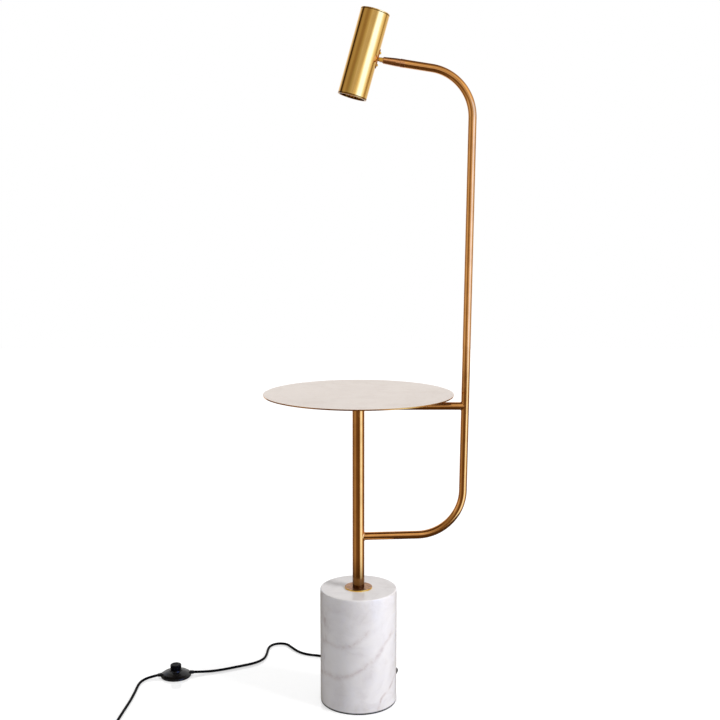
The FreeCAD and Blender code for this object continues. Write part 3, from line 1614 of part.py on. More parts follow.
os.makedirs("parts", exist_ok=True)
for piece in pieces:
    piece.Shape.exportStep(f"parts/{piece.Label}.step")
print(len(pieces), "sub-parts written")
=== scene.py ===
import bmesh
import bpy
import json
import numpy as np
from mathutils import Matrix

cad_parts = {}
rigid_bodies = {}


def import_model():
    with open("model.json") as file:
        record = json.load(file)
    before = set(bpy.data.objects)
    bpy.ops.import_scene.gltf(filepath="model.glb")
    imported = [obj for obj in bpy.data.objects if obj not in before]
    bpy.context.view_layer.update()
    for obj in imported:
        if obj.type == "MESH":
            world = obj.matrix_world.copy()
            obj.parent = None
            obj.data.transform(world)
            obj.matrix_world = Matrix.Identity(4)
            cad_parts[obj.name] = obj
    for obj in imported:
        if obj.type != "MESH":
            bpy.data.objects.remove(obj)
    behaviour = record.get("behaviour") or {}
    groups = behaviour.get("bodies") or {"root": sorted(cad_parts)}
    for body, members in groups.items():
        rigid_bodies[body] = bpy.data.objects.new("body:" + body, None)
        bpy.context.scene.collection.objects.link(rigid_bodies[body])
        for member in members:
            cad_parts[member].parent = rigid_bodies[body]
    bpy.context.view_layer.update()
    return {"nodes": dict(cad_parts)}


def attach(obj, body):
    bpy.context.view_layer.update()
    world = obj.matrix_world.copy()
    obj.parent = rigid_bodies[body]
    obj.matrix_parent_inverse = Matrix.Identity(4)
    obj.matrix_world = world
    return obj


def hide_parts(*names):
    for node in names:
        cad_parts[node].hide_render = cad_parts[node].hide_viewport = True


# Looks of a floor lamp with a table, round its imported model. Shapes are worked out
# in millimetres and written in metres. Origin: centre of the foot's underside, +Z up,
# +X from the column to the pole; the lamp's front looks along -Y.

for spare in list(bpy.data.objects):
    bpy.data.objects.remove(spare)

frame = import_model()
nodes = frame["nodes"]

MM = 0.001
Y = np.array([0.0, 1.0, 0.0])
UP = np.array([0.0, 0.0, 1.0])

# --- Sizes repeated from the part's source, in millimetres ---

BASE_RADIUS, BASE_TOP, PAD = 75, 228, 2
BORE, RECESS_RADIUS, RECESS_TOP = 6, 32, 64
COLLAR_BORE, COLLAR_RADIUS, COLLAR_TOP = 5.05, 27, 230.5
COLUMN_RADIUS, COLUMN_WALL = 11.7, 1.5
TABLE_RADIUS, TABLE_TOP, TABLE_UNDER, FLANGE_LOW = 182.5, 613.5, 611, 608
ARM_RADIUS, ARM_WALL, BEND = 7.7, 1.2, 90
LOWER_ARM, POLE_REACH, BAR_HEIGHT, BAR_RADIUS = 331.3, 204.7, 588.8, 7.5
LOWER_RISE, POLE_LEAN, UPPER_RISE = np.radians([1.6, 0.75, 8.8])
ARM_END = np.array([85.3, 0, 1228.6])
ALONG_ARM = np.array([-np.cos(UPPER_RISE), 0, np.sin(UPPER_RISE)])
HEAD_RADIUS, HEAD_LENGTH, HEAD_WALL = 27.4, 160, 1
HEAD_TILT = np.radians(15.7)
HEAD_OUT = np.array([np.cos(HEAD_TILT), 0, -np.sin(HEAD_TILT)])
HEAD_AXIS = np.array([np.sin(HEAD_TILT), 0, np.cos(HEAD_TILT)])
PIVOT_DISTANCE, PIVOT_OUT, KNUCKLE_STATION = 44.9, 32.7, 79
PIVOT = ARM_END + PIVOT_DISTANCE * ALONG_ARM
SLEEVE_TIP, STRIP_THICKNESS = 39.8, 1.25
MOUTH = PIVOT - PIVOT_OUT * HEAD_OUT - KNUCKLE_STATION * HEAD_AXIS
EXIT_TURN = np.radians(33)
EXIT_WAY = np.array([np.cos(EXIT_TURN), np.sin(EXIT_TURN), 0])
EXIT_HEIGHT = 43
CORD, CORD_Z = 5.3, 2.75
SWITCH = np.array([-381.0, 104.0, 0])
SWITCH_TURN = np.radians(12.6)
SWITCH_WAY = np.array([np.cos(SWITCH_TURN), np.sin(SWITCH_TURN), 0])
PORT_REACH, PORT_HEIGHT = 37, 5.2
COIL = np.array([-419.4, -172.0, 0])
PLUG = np.array([-374.0, -230.0, 6.85])


# --- Lines and grids ---


def unit(vectors):
    """Each vector divided by its own length."""
    vectors = np.asarray(vectors, float)
    return vectors / np.linalg.norm(vectors, axis=-1, keepdims=True)


def corner_arc(before, corner, after, radius, steps):
    """Points and directions of the arc that touches both lines of a corner: from the arc's centre, the point
    at share t is (sin((1-t) turn) first + sin(t turn) last) / sin(turn)."""
    back, onward = unit(before - corner), unit(after - corner)
    half = np.arccos(np.clip(back @ onward, -1, 1)) / 2
    centre = corner + unit(back + onward) * radius / np.sin(half)
    reach, turn = radius / np.tan(half), np.pi - 2 * half
    first, last = corner + back * reach - centre, corner + onward * reach - centre
    share = np.linspace(0, 1, steps + 1)[:, None]
    spokes = (np.sin((1 - share) * turn) * first + np.sin(share * turn) * last) / np.sin(turn)
    ways = np.cos(share * turn) * last - np.cos((1 - share) * turn) * first
    return centre + spokes, unit(ways)


def rounded(corners, rounds=None, steps=6, closed=False, support=0.12):
    """Straight lines between corners, with a tangent arc of the given radius at those named in rounds, and
    a point a little before and after each arc."""
    corners = np.asarray(corners, float)
    line = []
    for index, corner in enumerate(corners):
        radius = (rounds or {}).get(index, 0)
        if not radius:
            line.append(corner)
            continue
        after = corners[(index + 1) % len(corners)]
        points, ways = corner_arc(corners[index - 1], corner, after, radius, steps)
        line += [points[0] - ways[0] * support, *points, points[-1] + ways[-1] * support]
    if closed:
        line.append(line[0])
    return np.array(line)


def bent_line(corners, radius, steps=32):
    """Centres and directions along straight runs joined by tangent arcs of one radius."""
    centres, ways = [corners[0]], [unit(corners[1] - corners[0])]
    for before, corner, after in zip(corners, corners[1:], corners[2:]):
        points, turns = corner_arc(before, corner, after, radius, steps)
        centres.extend(points)
        ways.extend(turns)
    centres.append(corners[-1])
    ways.append(unit(corners[-1] - corners[-2]))
    return np.array(centres), np.array(ways)


def turned(outline, origin=(0, 0, 0), axis=UP, spokes=96):
    """P(i, a) = origin + h_i axis + r_i (cos a side + sin a across), from an outline of (r, h)."""
    axis = unit(axis)
    side = unit(np.cross(Y, axis)) if abs(axis @ Y) < 0.9 else np.array([1.0, 0, 0])
    across = np.cross(axis, side)
    turn = np.linspace(0, 2 * np.pi, spokes + 1)[None, :, None]
    radius, height = outline[:, 0, None, None], outline[:, 1, None, None]
    return np.asarray(origin) + height * axis + radius * (np.cos(turn) * side + np.sin(turn) * across)


def piped(centres, ways, radius, spokes=80):
    """P(i, a) = C_i + r (cos a Y + sin a (T_i x Y)), round a line in the XZ plane."""
    turn = np.linspace(0, 2 * np.pi, spokes + 1)[None, :, None]
    across = np.cross(ways, Y)[:, None, :]
    return centres[:, None, :] + radius * (np.cos(turn) * Y + np.sin(turn) * across)


def plate(outline, middle, half, bevel, place):
    """Flat plate on a closed outline round a middle: rows from the middle of one face, over its bevelled
    rims, to the middle of the other, put in the scene by place(across, thick, along)."""
    inset = outline + (middle - outline) * (bevel / np.linalg.norm(outline - middle, axis=1).mean())
    centre = outline * 0 + middle
    rows = [(centre, -half), (inset, -half), (outline, bevel - half), (outline, half - bevel),
            (inset, half), (centre, half)]
    return np.stack([place(flat[:, 0], thick, flat[:, 1]) for flat, thick in rows])


def half_round(start, middle, radius, steps=24):
    """Closed outline of a bar from start to a half circle of the given radius round its middle."""
    turn = np.linspace(-np.pi / 2, np.pi / 2, steps + 1)
    arc = np.stack([middle + radius * np.cos(turn), radius * np.sin(turn)], 1)
    return np.concatenate([[(start, -radius)], arc, [(start, radius), (start, -radius)]])


def moved_to(grid_row, way, x_of_yz):
    """Slides a ring of points along way until each one's x is x_of_yz of its y and z."""
    for _ in range(4):
        wanted = x_of_yz(grid_row[:, 1], grid_row[:, 2])
        grid_row = grid_row + ((wanted - grid_row[:, 0]) / way[0])[:, None] * way
    return grid_row


def weld(ring, centre, away, wall_normals, width, steps=7):
    """Concave bead in the corner of a tube and a wall: a quadratic curve from the tube's skin, a width away
    from the corner, past the corner to the wall's skin, for every point of the corner's ring."""
    radial = ring - centre
    radial = unit(radial - (radial @ away)[:, None] * away)
    along_wall = unit(radial - (radial * wall_normals).sum(1)[:, None] * wall_normals)
    on_tube = ring + away * width + radial * 0.03
    on_wall = ring + along_wall * width - wall_normals * 0.15
    share = np.linspace(0, 1, steps)[:, None, None]
    bead = (1 - share) ** 2 * on_tube + 2 * share * (1 - share) * ring + share**2 * on_wall
    buried = (ring - radial * 0.4 - wall_normals * 0.4)[None]
    return np.concatenate([bead, buried, bead[:1]])


# --- Meshes ---


def distances(grid, axis):
    """Mean length along one direction of a grid, as a running sum."""
    steps = np.linalg.norm(np.diff(grid, axis=axis), axis=2).mean(axis=1 - axis)
    return np.concatenate([[0], np.cumsum(steps)])


def placed(name, data):
    """A new object in the scene that holds a mesh, a curve, a camera or a lamp."""
    piece = bpy.data.objects.new(name, data)
    bpy.context.scene.collection.objects.link(piece)
    return piece


def surface(name, grids, look, body, replaces):
    """Mesh of grids of points: each point is joined to its neighbours, seams and poles are closed by
    merging doubles, and the map "skin" holds metres round and metres along. Its look is a finish's name."""
    grids = [grids] if isinstance(grids, np.ndarray) else grids
    points, quads, skins = [], [], []
    start = 0
    for grid in grids:
        grid = grid * MM
        rows, columns = grid.shape[:2]
        index = start + np.arange(rows * columns).reshape(rows, columns)
        quads.append(
            np.stack([index[:-1, :-1], index[:-1, 1:], index[1:, 1:], index[1:, :-1]], -1).reshape(-1, 4)
        )
        along, around = np.meshgrid(distances(grid, 0), distances(grid, 1), indexing="ij")
        skins.append(np.stack([around, along], -1).reshape(-1, 2))
        points.append(grid.reshape(-1, 3))
        start += rows * columns
    points, quads, skins = np.concatenate(points), np.concatenate(quads), np.concatenate(skins)
    mesh = bpy.data.meshes.new(name)
    mesh.from_pydata(points.tolist(), [], quads.tolist())
    skin = mesh.uv_layers.new(name="skin")
    skin.data.foreach_set("uv", skins[quads.ravel()].ravel().astype(np.float32))
    shape = bmesh.new()
    shape.from_mesh(mesh)
    bmesh.ops.remove_doubles(shape, verts=shape.verts, dist=2e-6)
    bmesh.ops.recalc_face_normals(shape, faces=shape.faces)
    shape.to_mesh(mesh)
    shape.free()
    mesh.polygons.foreach_set("use_smooth", np.ones(len(mesh.polygons), bool))
    mesh.set_sharp_from_angle(angle=0.55)
    mesh.materials.append(finish[look])
    piece = placed(name, mesh)
    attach(piece, body)
    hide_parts(*replaces)
    return piece


# --- Shader groups ---


def new_group(name, inputs, outputs):
    """An empty shader group with the named sockets; a number, a vector or a colour by its default."""
    kinds = {1: "NodeSocketFloat", 3: "NodeSocketVector", 4: "NodeSocketColor"}
    group = bpy.data.node_groups.new(name, "ShaderNodeTree")
    for title, default in inputs.items():
        socket = group.interface.new_socket(title, in_out="INPUT", socket_type=kinds[np.size(default)])
        socket.default_value = default
    for title, kind in outputs.items():
        group.interface.new_socket(title, in_out="OUTPUT", socket_type="NodeSocket" + kind)
    tree = Tree(group)
    return tree, tree.add("NodeGroupInput").outputs, tree.add("NodeGroupOutput").inputs


class Tree:
    """Short calls for adding and linking nodes."""

    def __init__(self, tree):
        self.tree = tree

    def add(self, kind, **settings):
        node = self.tree.nodes.new(kind)
        for key, value in settings.items():
            setattr(node, key, value)
        return node

    def set(self, socket, value):
        if isinstance(value, bpy.types.NodeSocket):
            self.tree.links.new(value, socket)
        elif value is not None:
            socket.default_value = value

    def filled(self, node, values):
        """The outputs of a node whose inputs get values or links, by their names or numbers."""
        for title, value in values:
            self.set(node.inputs[title], value)
        return node.outputs

    def math(self, operation, *values, clamp=False):
        node = self.add("ShaderNodeMath", operation=operation, use_clamp=clamp)
        return self.filled(node, enumerate(values))[0]

    def vector(self, operation, *values):
        node = self.add("ShaderNodeVectorMath", operation=operation)
        title = "Value" if operation in ("LENGTH", "DOT_PRODUCT") else "Vector"
        return self.filled(node, enumerate(values))[title]

    def noise(self, place, scale, detail=3.0, roughness=0.5, distortion=0.0):
        titles = ("Vector", "Scale", "Detail", "Roughness", "Distortion")
        values = zip(titles, (place, scale, detail, roughness, distortion))
        return self.filled(self.add("ShaderNodeTexNoise"), values)

    def span(self, value, low, high, to_low=0.0, to_high=1.0, smooth=True):
        node = self.add("ShaderNodeMapRange", interpolation_type="SMOOTHSTEP" if smooth else "LINEAR")
        return self.filled(node, enumerate((value, low, high, to_low, to_high)))[0]

    def mix(self, share, first, second):
        node = self.add("ShaderNodeMix", data_type="RGBA")
        return self.filled(node, ((0, share), (6, first), (7, second)))[2]

    def bump(self, height, strength, distance):
        values = (("Height", height), ("Strength", strength), ("Distance", distance))
        return self.filled(self.add("ShaderNodeBump"), values)["Normal"]


SKIN_OUTPUTS = {"Color": "Color", "Roughness": "Float", "Normal": "Vector"}


def make_brass_skin():
    """Brass under lacquer: streaks of the brush, soft clouds of patina, fine dark specks, handling marks."""
    tree, given, result = new_group(
        "brass_skin",
        {
            "Place": (0, 0, 0), "Brush Place": (0, 0, 0), "Stretch": (1500, 30, 0),
            "Base": (0.8, 0.5, 0.2, 1), "Patina": (0.5, 0.28, 0.1, 1),
            "Cloud Scale": 30.0, "Cloud": 0.3, "Speck": 0.2, "Streak": 0.2,
            "Roughness": 0.2, "Marks": 0.08, "Relief": 0.1,
        },
        SKIN_OUTPUTS,
    )
    streak = tree.noise(tree.vector("MULTIPLY", given["Brush Place"], given["Stretch"]), 1.0, 4.0, 0.6)[0]
    cloud = tree.noise(given["Place"], given["Cloud Scale"], 4.0, 0.55, 0.6)[0]
    speck = tree.noise(given["Place"], 1400.0, 2.0, 0.6)[0]
    marks = tree.noise(given["Place"], 42.0, 5.0, 0.65, 1.2)[0]
    worn = tree.math("MULTIPLY", tree.span(cloud, 0.38, 0.66), given["Cloud"])
    flecks = tree.math("MULTIPLY", tree.span(speck, 0.62, 0.78), given["Speck"])
    lines = tree.math("MULTIPLY", tree.span(streak, 0.35, 0.75), given["Streak"])
    share = tree.math("MAXIMUM", worn, flecks, clamp=True)
    share = tree.math("ADD", share, lines, clamp=True)
    tree.set(result["Color"], tree.mix(share, given["Base"], given["Patina"]))
    rough = tree.math("MULTIPLY", tree.span(marks, 0.4, 0.75), given["Marks"])
    rough = tree.math("ADD", rough, given["Roughness"])
    rough = tree.math("ADD", rough, tree.math("MULTIPLY", lines, 0.15), clamp=True)
    tree.set(result["Roughness"], rough)
    height = tree.math("ADD", streak, tree.math("MULTIPLY", speck, 0.35))
    tree.set(result["Normal"], tree.bump(height, given["Relief"], 0.00006))
    return tree.tree


def make_fine_grain():
    """Moulded or cast skin: a soft orange-peel, fine grain, faint dust on faces that look up, scuffs."""
    tree, given, result = new_group(
        "fine_grain",
        {
            "Place": (0, 0, 0), "Base": (0.5, 0.5, 0.5, 1), "Dust": (0.6, 0.58, 0.55, 1),
            "Dust Share": 0.05, "Grain Scale": 900.0, "Roughness": 0.4, "Scuffs": 0.1, "Relief": 0.1,
        },
        SKIN_OUTPUTS,
    )
    grain = tree.noise(given["Place"], given["Grain Scale"], 3.0, 0.6)[0]
    peel = tree.noise(given["Place"], 180.0, 2.0)[0]
    scuff = tree.noise(given["Place"], 65.0, 5.0, 0.7, 1.5)[0]
    facing = tree.add("ShaderNodeSeparateXYZ")
    tree.set(facing.inputs[0], tree.add("ShaderNodeNewGeometry").outputs["Normal"])
    level = tree.span(facing.outputs["Z"], 0.3, 1.0)
    dust = tree.math("MULTIPLY", level, tree.span(scuff, 0.4, 0.7))
    dust = tree.math("MULTIPLY", dust, given["Dust Share"])
    tree.set(result["Color"], tree.mix(dust, given["Base"], given["Dust"]))
    rough = tree.math("MULTIPLY", tree.span(scuff, 0.45, 0.75), given["Scuffs"])
    rough = tree.math("ADD", rough, given["Roughness"])
    rough = tree.math("ADD", rough, tree.math("MULTIPLY", dust, 0.5), clamp=True)
    tree.set(result["Roughness"], rough)
    height = tree.math("ADD", grain, peel)
    tree.set(result["Normal"], tree.bump(height, given["Relief"], 0.0001))
    return tree.tree


def make_vein_stroke():
    """How near a place is to a straight stroke: 1 in its middle, fading to 0 at its width."""
    tree, given, result = new_group(
        "vein_stroke",
        {
            "Place": (0, 0, 0), "From": (0, 0, 0), "To": (0, 0, 1), "Width": 0.002, "Strength": 1.0,
            "Before": 0.0,
        },
        {"Mask": "Float"},
    )
    run = tree.vector("SUBTRACT", given["To"], given["From"])
    reach = tree.vector("SUBTRACT", given["Place"], given["From"])
    share = tree.math(
        "DIVIDE", tree.vector("DOT_PRODUCT", reach, run), tree.vector("DOT_PRODUCT", run, run), clamp=True
    )
    scaled = tree.add("ShaderNodeVectorMath", operation="SCALE")
    tree.set(scaled.inputs[0], run)
    tree.set(scaled.inputs["Scale"], share)
    gap = tree.vector("LENGTH", tree.vector("SUBTRACT", reach, scaled.outputs[0]))
    near = tree.math("SUBTRACT", 1.0, tree.math("DIVIDE", gap, given["Width"]), clamp=True)
    near = tree.math("MULTIPLY", near, near)
    mask = tree.math("MULTIPLY", near, given["Strength"])
    tree.set(result["Mask"], tree.math("MAXIMUM", mask, given["Before"]))
    return tree.tree


BRASS_SKIN = make_brass_skin()
FINE_GRAIN = make_fine_grain()
VEIN_STROKE = make_vein_stroke()


# --- Materials ---


finish = {}


def cleared(owner):
    """The empty node tree of a material or a world."""
    owner.use_nodes = True
    owner.node_tree.nodes.clear()
    return Tree(owner.node_tree)


def new_material(name):
    """Adds a material with one Principled BSDF to finish, and returns its tree, shader and coordinates."""
    finish[name] = bpy.data.materials.new(name)
    tree = cleared(finish[name])
    shader = tree.add("ShaderNodeBsdfPrincipled")
    tree.set(tree.add("ShaderNodeOutputMaterial").inputs["Surface"], shader.outputs[0])
    return tree, shader, tree.add("ShaderNodeTexCoord").outputs


def use_group(tree, group, **values):
    """A placed group, with underscores for the spaces in its sockets' names."""
    node = tree.add("ShaderNodeGroup", node_tree=group)
    for title, value in values.items():
        socket = node.inputs[title.replace("_", " ")]
        tree.set(socket, (*value, 1) if np.size(value) == 3 and socket.type == "RGBA" else value)
    return node.outputs


def connect(tree, shader, outputs):
    tree.set(shader.inputs["Base Color"], outputs["Color"])
    tree.set(shader.inputs["Roughness"], outputs["Roughness"])
    tree.set(shader.inputs["Normal"], outputs["Normal"])


def brass(name, base, patina, stretch=None, coat=0.0, **values):
    """Brushed brass; without a stretch the streaks run along the piece's own skin map."""
    tree, shader, places = new_material(name)
    shader.inputs["Metallic"].default_value = 1
    shader.inputs["Coat Weight"].default_value = coat
    shader.inputs["Coat Roughness"].default_value = 0.08
    brush = places["Object"] if stretch else places["UV"]
    connect(tree, shader, use_group(
        tree, BRASS_SKIN, Place=places["Object"], Brush_Place=brush,
        Stretch=stretch or (1600, 12, 0), Base=base, Patina=patina, **values,
    ))


def finished(name):
    """The tree, the shader and the Object coordinates of a finish that gets one more layer."""
    tree = Tree(finish[name].node_tree)
    shader = next(node for node in tree.tree.nodes if node.type == "BSDF_PRINCIPLED")
    return tree, shader, tree.add("ShaderNodeTexCoord").outputs["Object"]


def cover(tree, shader, mask, colour, rough, smooth):
    """A layer of another colour and roughness over a finish, where the mask is 1."""
    base, roughness = shader.inputs["Base Color"], shader.inputs["Roughness"]
    tree.set(base, tree.mix(mask, base.links[0].from_socket, (*colour, 1)))
    tree.set(roughness, tree.span(mask, 0.0, 1.0, roughness.links[0].from_socket, rough, smooth=smooth))


def darken_seams(name, heights, reach, dark, rough):
    """Bands of darker brass round the head, by the height up its axis: painted shade in the grooves, and a
    darker rim at the mouth.
    """
    tree, shader, place = finished(name)
    height = tree.vector("DOT_PRODUCT", place, tuple(HEAD_AXIS))
    mask = 0.0
    for seam in heights:
        level = (MOUTH @ HEAD_AXIS + seam) * MM
        gap = tree.math("ABSOLUTE", tree.math("SUBTRACT", height, level))
        near = tree.span(gap, reach * 0.7 * MM, reach * MM, 1.0, 0.0)
        mask = tree.math("MAXIMUM", near, mask)
    cover(tree, shader, mask, dark, rough, smooth=False)


def polish_rim(name, radius, bright, rough):
    """The rounded edge of a disc round the column, rubbed bright."""
    tree, shader, place = finished(name)
    flat = tree.vector("MULTIPLY", place, (1, 1, 0))
    rim = tree.span(tree.vector("LENGTH", flat), radius * MM, (radius + 0.4) * MM)
    cover(tree, shader, rim, bright, rough, smooth=True)


def darken_foot(name, level, reach, share):
    """The tube's colour darkened just above the collar, fading out with the height."""
    tree, shader, place = finished(name)
    height = tree.vector("DOT_PRODUCT", place, (0, 0, 1))
    above = tree.span(height, level * MM, (level + reach) * MM, share, 0.0)
    undarkened = shader.inputs["Base Color"].links[0].from_socket
    tree.set(shader.inputs["Base Color"], tree.mix(above, undarkened, (0.07, 0.025, 0.004, 1)))


def moulded(name, base, metallic=0.0, specular=0.5, **values):
    """Plastic, rubber, ceramic, glass or plated steel with a fine grained skin; returns its shader."""
    tree, shader, places = new_material(name)
    shader.inputs["Metallic"].default_value = metallic
    shader.inputs["Specular IOR Level"].default_value = specular
    connect(tree, shader, use_group(tree, FINE_GRAIN, Place=places["Object"], Base=base, **values))
    return shader


ANTIQUE = dict(base=(0.70, 0.32, 0.09), patina=(0.38, 0.15, 0.04), Speck=0.08, Relief=0.02)
POLISHED = dict(base=(0.86, 0.50, 0.125), patina=(0.64, 0.34, 0.075), Speck=0.05, Relief=0.015)
brass("tube_brass", **ANTIQUE, Roughness=0.09, Cloud=0.25, Streak=0.12)
brass("collar_brass", (0.56, 0.28, 0.13), (0.12, 0.045, 0.015), stretch=(900, 900, 900), Roughness=0.3,
      Cloud=0.9, Cloud_Scale=330.0, Speck=0.7, Streak=0.3, Relief=0.3)
brass("plate_brass", **ANTIQUE, stretch=(700, 60, 60), Roughness=0.3)
brass("copper_brass", (0.62, 0.27, 0.09), (0.36, 0.13, 0.04), coat=0.4, Roughness=0.16, Cloud=0.25,
      Speck=0.1, Relief=0.02)
brass("knuckle_brass", (0.84, 0.42, 0.09), (0.42, 0.17, 0.03), stretch=(500, 500, 500), Roughness=0.16,
      Cloud=0.5, Cloud_Scale=260.0)
# Darker brass for the strip round the head: painted shade, keeping the strip dark.
brass("shaded_strip_brass", (0.48, 0.17, 0.025), (0.22, 0.07, 0.01), stretch=(500, 500, 200), Roughness=0.2)
brass("head_brass", **POLISHED, Roughness=0.085, Cloud=0.14, Streak=0.1)
brass("small_brass", (0.88, 0.46, 0.06), (0.5, 0.22, 0.03), stretch=(900, 900, 300), Roughness=0.12)
brass("plain_brass", (0.74, 0.50, 0.18), (0.5, 0.30, 0.10), stretch=(600, 600, 600), Roughness=0.3)
# Satin disc with fine straight brushing along X.
brass("champagne_brass", (0.81, 0.72, 0.65), (0.68, 0.59, 0.52), stretch=(6, 900, 0), Roughness=0.3,
      Cloud=0.25, Cloud_Scale=9.0, Speck=0.1, Streak=0.35, Relief=0.12)

darken_foot("tube_brass", level=225, reach=75, share=0.9)
polish_rim("collar_brass", COLLAR_RADIUS - 0.7, (0.86, 0.52, 0.10), 0.12)
polish_rim("champagne_brass", TABLE_RADIUS - 0.9, (0.5, 0.22, 0.045), 0.09)
# A darker gold band round the mouth's rim.
darken_seams("head_brass", (0.4,), 1.9, (0.42, 0.2, 0.035), 0.14)
# Painted shade in the grooves where the front ring and the lid meet the shell.
darken_seams("head_brass", (2.5, HEAD_LENGTH - 2.5), 0.7, (0.10, 0.04, 0.008), 0.3)

moulded("black_rubber", (0.006, 0.006, 0.006), specular=0.3, Roughness=0.6, Relief=0.4, Dust_Share=0.03)
moulded("black_plastic", (0.005, 0.005, 0.0055), specular=0.3, Roughness=0.36, Relief=0.15, Dust_Share=0.02)
moulded("black_gloss", (0.004, 0.004, 0.005), specular=0.28, Roughness=0.16, Relief=0.04, Dust_Share=0.008)
moulded("black_button", (0.004, 0.004, 0.006), specular=0.04, Roughness=0.35, Relief=0.04, Dust_Share=0.008)
moulded("black_cord", (0.0015, 0.0015, 0.002), specular=0.05, Roughness=0.5, Relief=0.2, Dust_Share=0.006)
moulded("white_plastic", (0.72, 0.71, 0.68), Roughness=0.4)
moulded("lead_sleeving", (0.66, 0.62, 0.52), Roughness=0.55, Relief=0.3)
moulded("holder_ceramic", (0.78, 0.76, 0.72), Roughness=0.3, Relief=0.2)
moulded("zinc_steel", (0.60, 0.61, 0.63), metallic=1.0, Roughness=0.32, Scuffs=0.2)
moulded("spring_steel", (0.50, 0.50, 0.52), metallic=1.0, Roughness=0.25)
moulded("nickel_pins", (0.66, 0.63, 0.58), metallic=1.0, Roughness=0.18)
moulded("bulb_body", (0.70, 0.71, 0.73), metallic=1.0, Roughness=0.22, Relief=0.2)
glass = moulded("bulb_glass", (0.97, 0.98, 0.97), Roughness=0.12, Relief=0.6, Grain_Scale=260.0,
                Dust_Share=0.03)
glass.inputs["Transmission Weight"].default_value = 1
glass.inputs["IOR"].default_value = 1.48


# Strokes of the marble's main veins: turn round the block in degrees from -Y towards +X and height in
# millimetres, as a list of points per vein, then width in millimetres and strength.
VEINS = [
    ([(-67, 132), (-53, 137), (-37, 132), (-23, 132), (-8, 140), (7, 156), (13, 166)], 10, 0.42),
    ([(-72, 66), (-57, 70), (-41, 69), (-28, 69), (-10, 80), (10, 97), (33, 120), (49, 140), (60, 152)],
     11, 0.46),
    ([(-60, 178), (-59, 158), (-56, 137)], 6, 0.6),
    ([(30, 8), (37, 24), (45, 33), (58, 45), (80, 68)], 6, 0.65),
    ([(45, 33), (61, 29)], 5, 0.5),
    ([(-60, 105), (-67, 87), (-60, 68)], 6, 0.3),
    ([(-54, 202), (-40, 199), (-20, 208), (-9, 217)], 7, 0.14),
    ([(95, 40), (120, 70), (150, 92), (190, 104), (225, 130)], 8, 0.5),
    ([(110, 150), (140, 168), (170, 196), (185, 222)], 7, 0.4),
    ([(205, 30), (235, 52), (262, 60), (288, 66)], 7, 0.45),
]


def make_marble():
    """White marble: broad soft clouds, a fine web, the main veins as strokes on warped places, and a thin
    line of painted shade at the foot."""
    tree, shader, places = new_material("white_marble")
    place = places["Object"]
    warp = tree.noise(place, 24.0, 4.0, 0.6)["Color"]
    offset = tree.vector("MULTIPLY", tree.vector("SUBTRACT", warp, (0.5, 0.5, 0.5)), (0.016,) * 3)
    bent = tree.vector("ADD", place, offset)
    mask = None
    for line, width, strength in VEINS:
        turns, heights = np.radians([p[0] for p in line]), [p[1] for p in line]
        spots = np.stack([BASE_RADIUS * np.sin(turns), -BASE_RADIUS * np.cos(turns), heights], 1) * MM
        for start, end in zip(spots, spots[1:]):
            mask = use_group(
                tree, VEIN_STROKE, Place=bent, From=tuple(start), To=tuple(end), Width=width * MM,
                Strength=strength, Before=mask,
            )["Mask"]
    broken = tree.span(tree.noise(bent, 90.0, 5.0, 0.65)[0], 0.32, 0.62, 0.2, 1.0)
    mask = tree.math("MULTIPLY", mask, broken)
    cloud = tree.noise(bent, 11.0, 5.0, 0.6, 0.8)[0]
    web = tree.math("ABSOLUTE", tree.math("SUBTRACT", tree.noise(bent, 26.0, 6.0, 0.62, 0.5)[0], 0.5))
    web = tree.math("SUBTRACT", 1.0, tree.math("MULTIPLY", web, 16.0), clamp=True)
    web = tree.math("MULTIPLY", web, tree.span(cloud, 0.45, 0.7, 0.0, 0.22))
    colour = tree.mix(tree.span(cloud, 0.35, 0.75), (0.885, 0.855, 0.85, 1), (0.77, 0.735, 0.735, 1))
    colour = tree.mix(web, colour, (0.55, 0.49, 0.47, 1))
    colour = tree.mix(mask, colour, (0.46, 0.34, 0.31, 1))
    height = tree.vector("DOT_PRODUCT", place, (0, 0, 1))
    # Painted shade: a thin dark band round the block's foot, where it meets the floor.
    foot_shade = tree.span(height, (PAD + 0.5) * MM, (PAD + 2.5) * MM, 0.85, 0.0)
    colour = tree.mix(foot_shade, colour, (0.05, 0.05, 0.06, 1))
    tree.set(shader.inputs["Base Color"], colour)
    tree.set(shader.inputs["Roughness"], tree.span(tree.noise(place, 60.0, 4.0)[0], 0.3, 0.7, 0.14, 0.24))
    tree.set(shader.inputs["Normal"], tree.bump(tree.noise(place, 420.0, 3.0)[0], 0.05, 0.0001))


make_marble()

# The solids that keep their own mesh get the finish named like their slot, but for these slots.
SLOT_FINISHES = {
    "antique_brass": "plate_brass", "coppery_brass": "copper_brass", "polished_brass": "small_brass"
}
for node in nodes.values():
    for place in node.material_slots:
        slot = place.material.name.split(".")[0]
        place.material = finish[SLOT_FINISHES.get(slot, slot)]


# --- Camera ---

lens = bpy.data.cameras.new("camera")
lens.lens = 52.82
lens.sensor_width = 36
looking_down = 0.126
camera = placed("camera", lens)
camera.location = (0.003, -2.001, 0.9313)
camera.rotation_euler = (np.pi / 2 - looking_down, 0, 0)
bpy.context.scene.camera = camera


# --- Cords ---


def switch_port(side):
    """Where the cord meets the foot switch: side 1 faces the lamp, side -1 the wall plug."""
    return SWITCH + SWITCH_WAY * side * PORT_REACH + UP * PORT_HEIGHT


def on_floor(*places):
    """Points of a cord that lies on the floor, from their x and y."""
    return [(x, y, CORD_Z) for x, y in places]


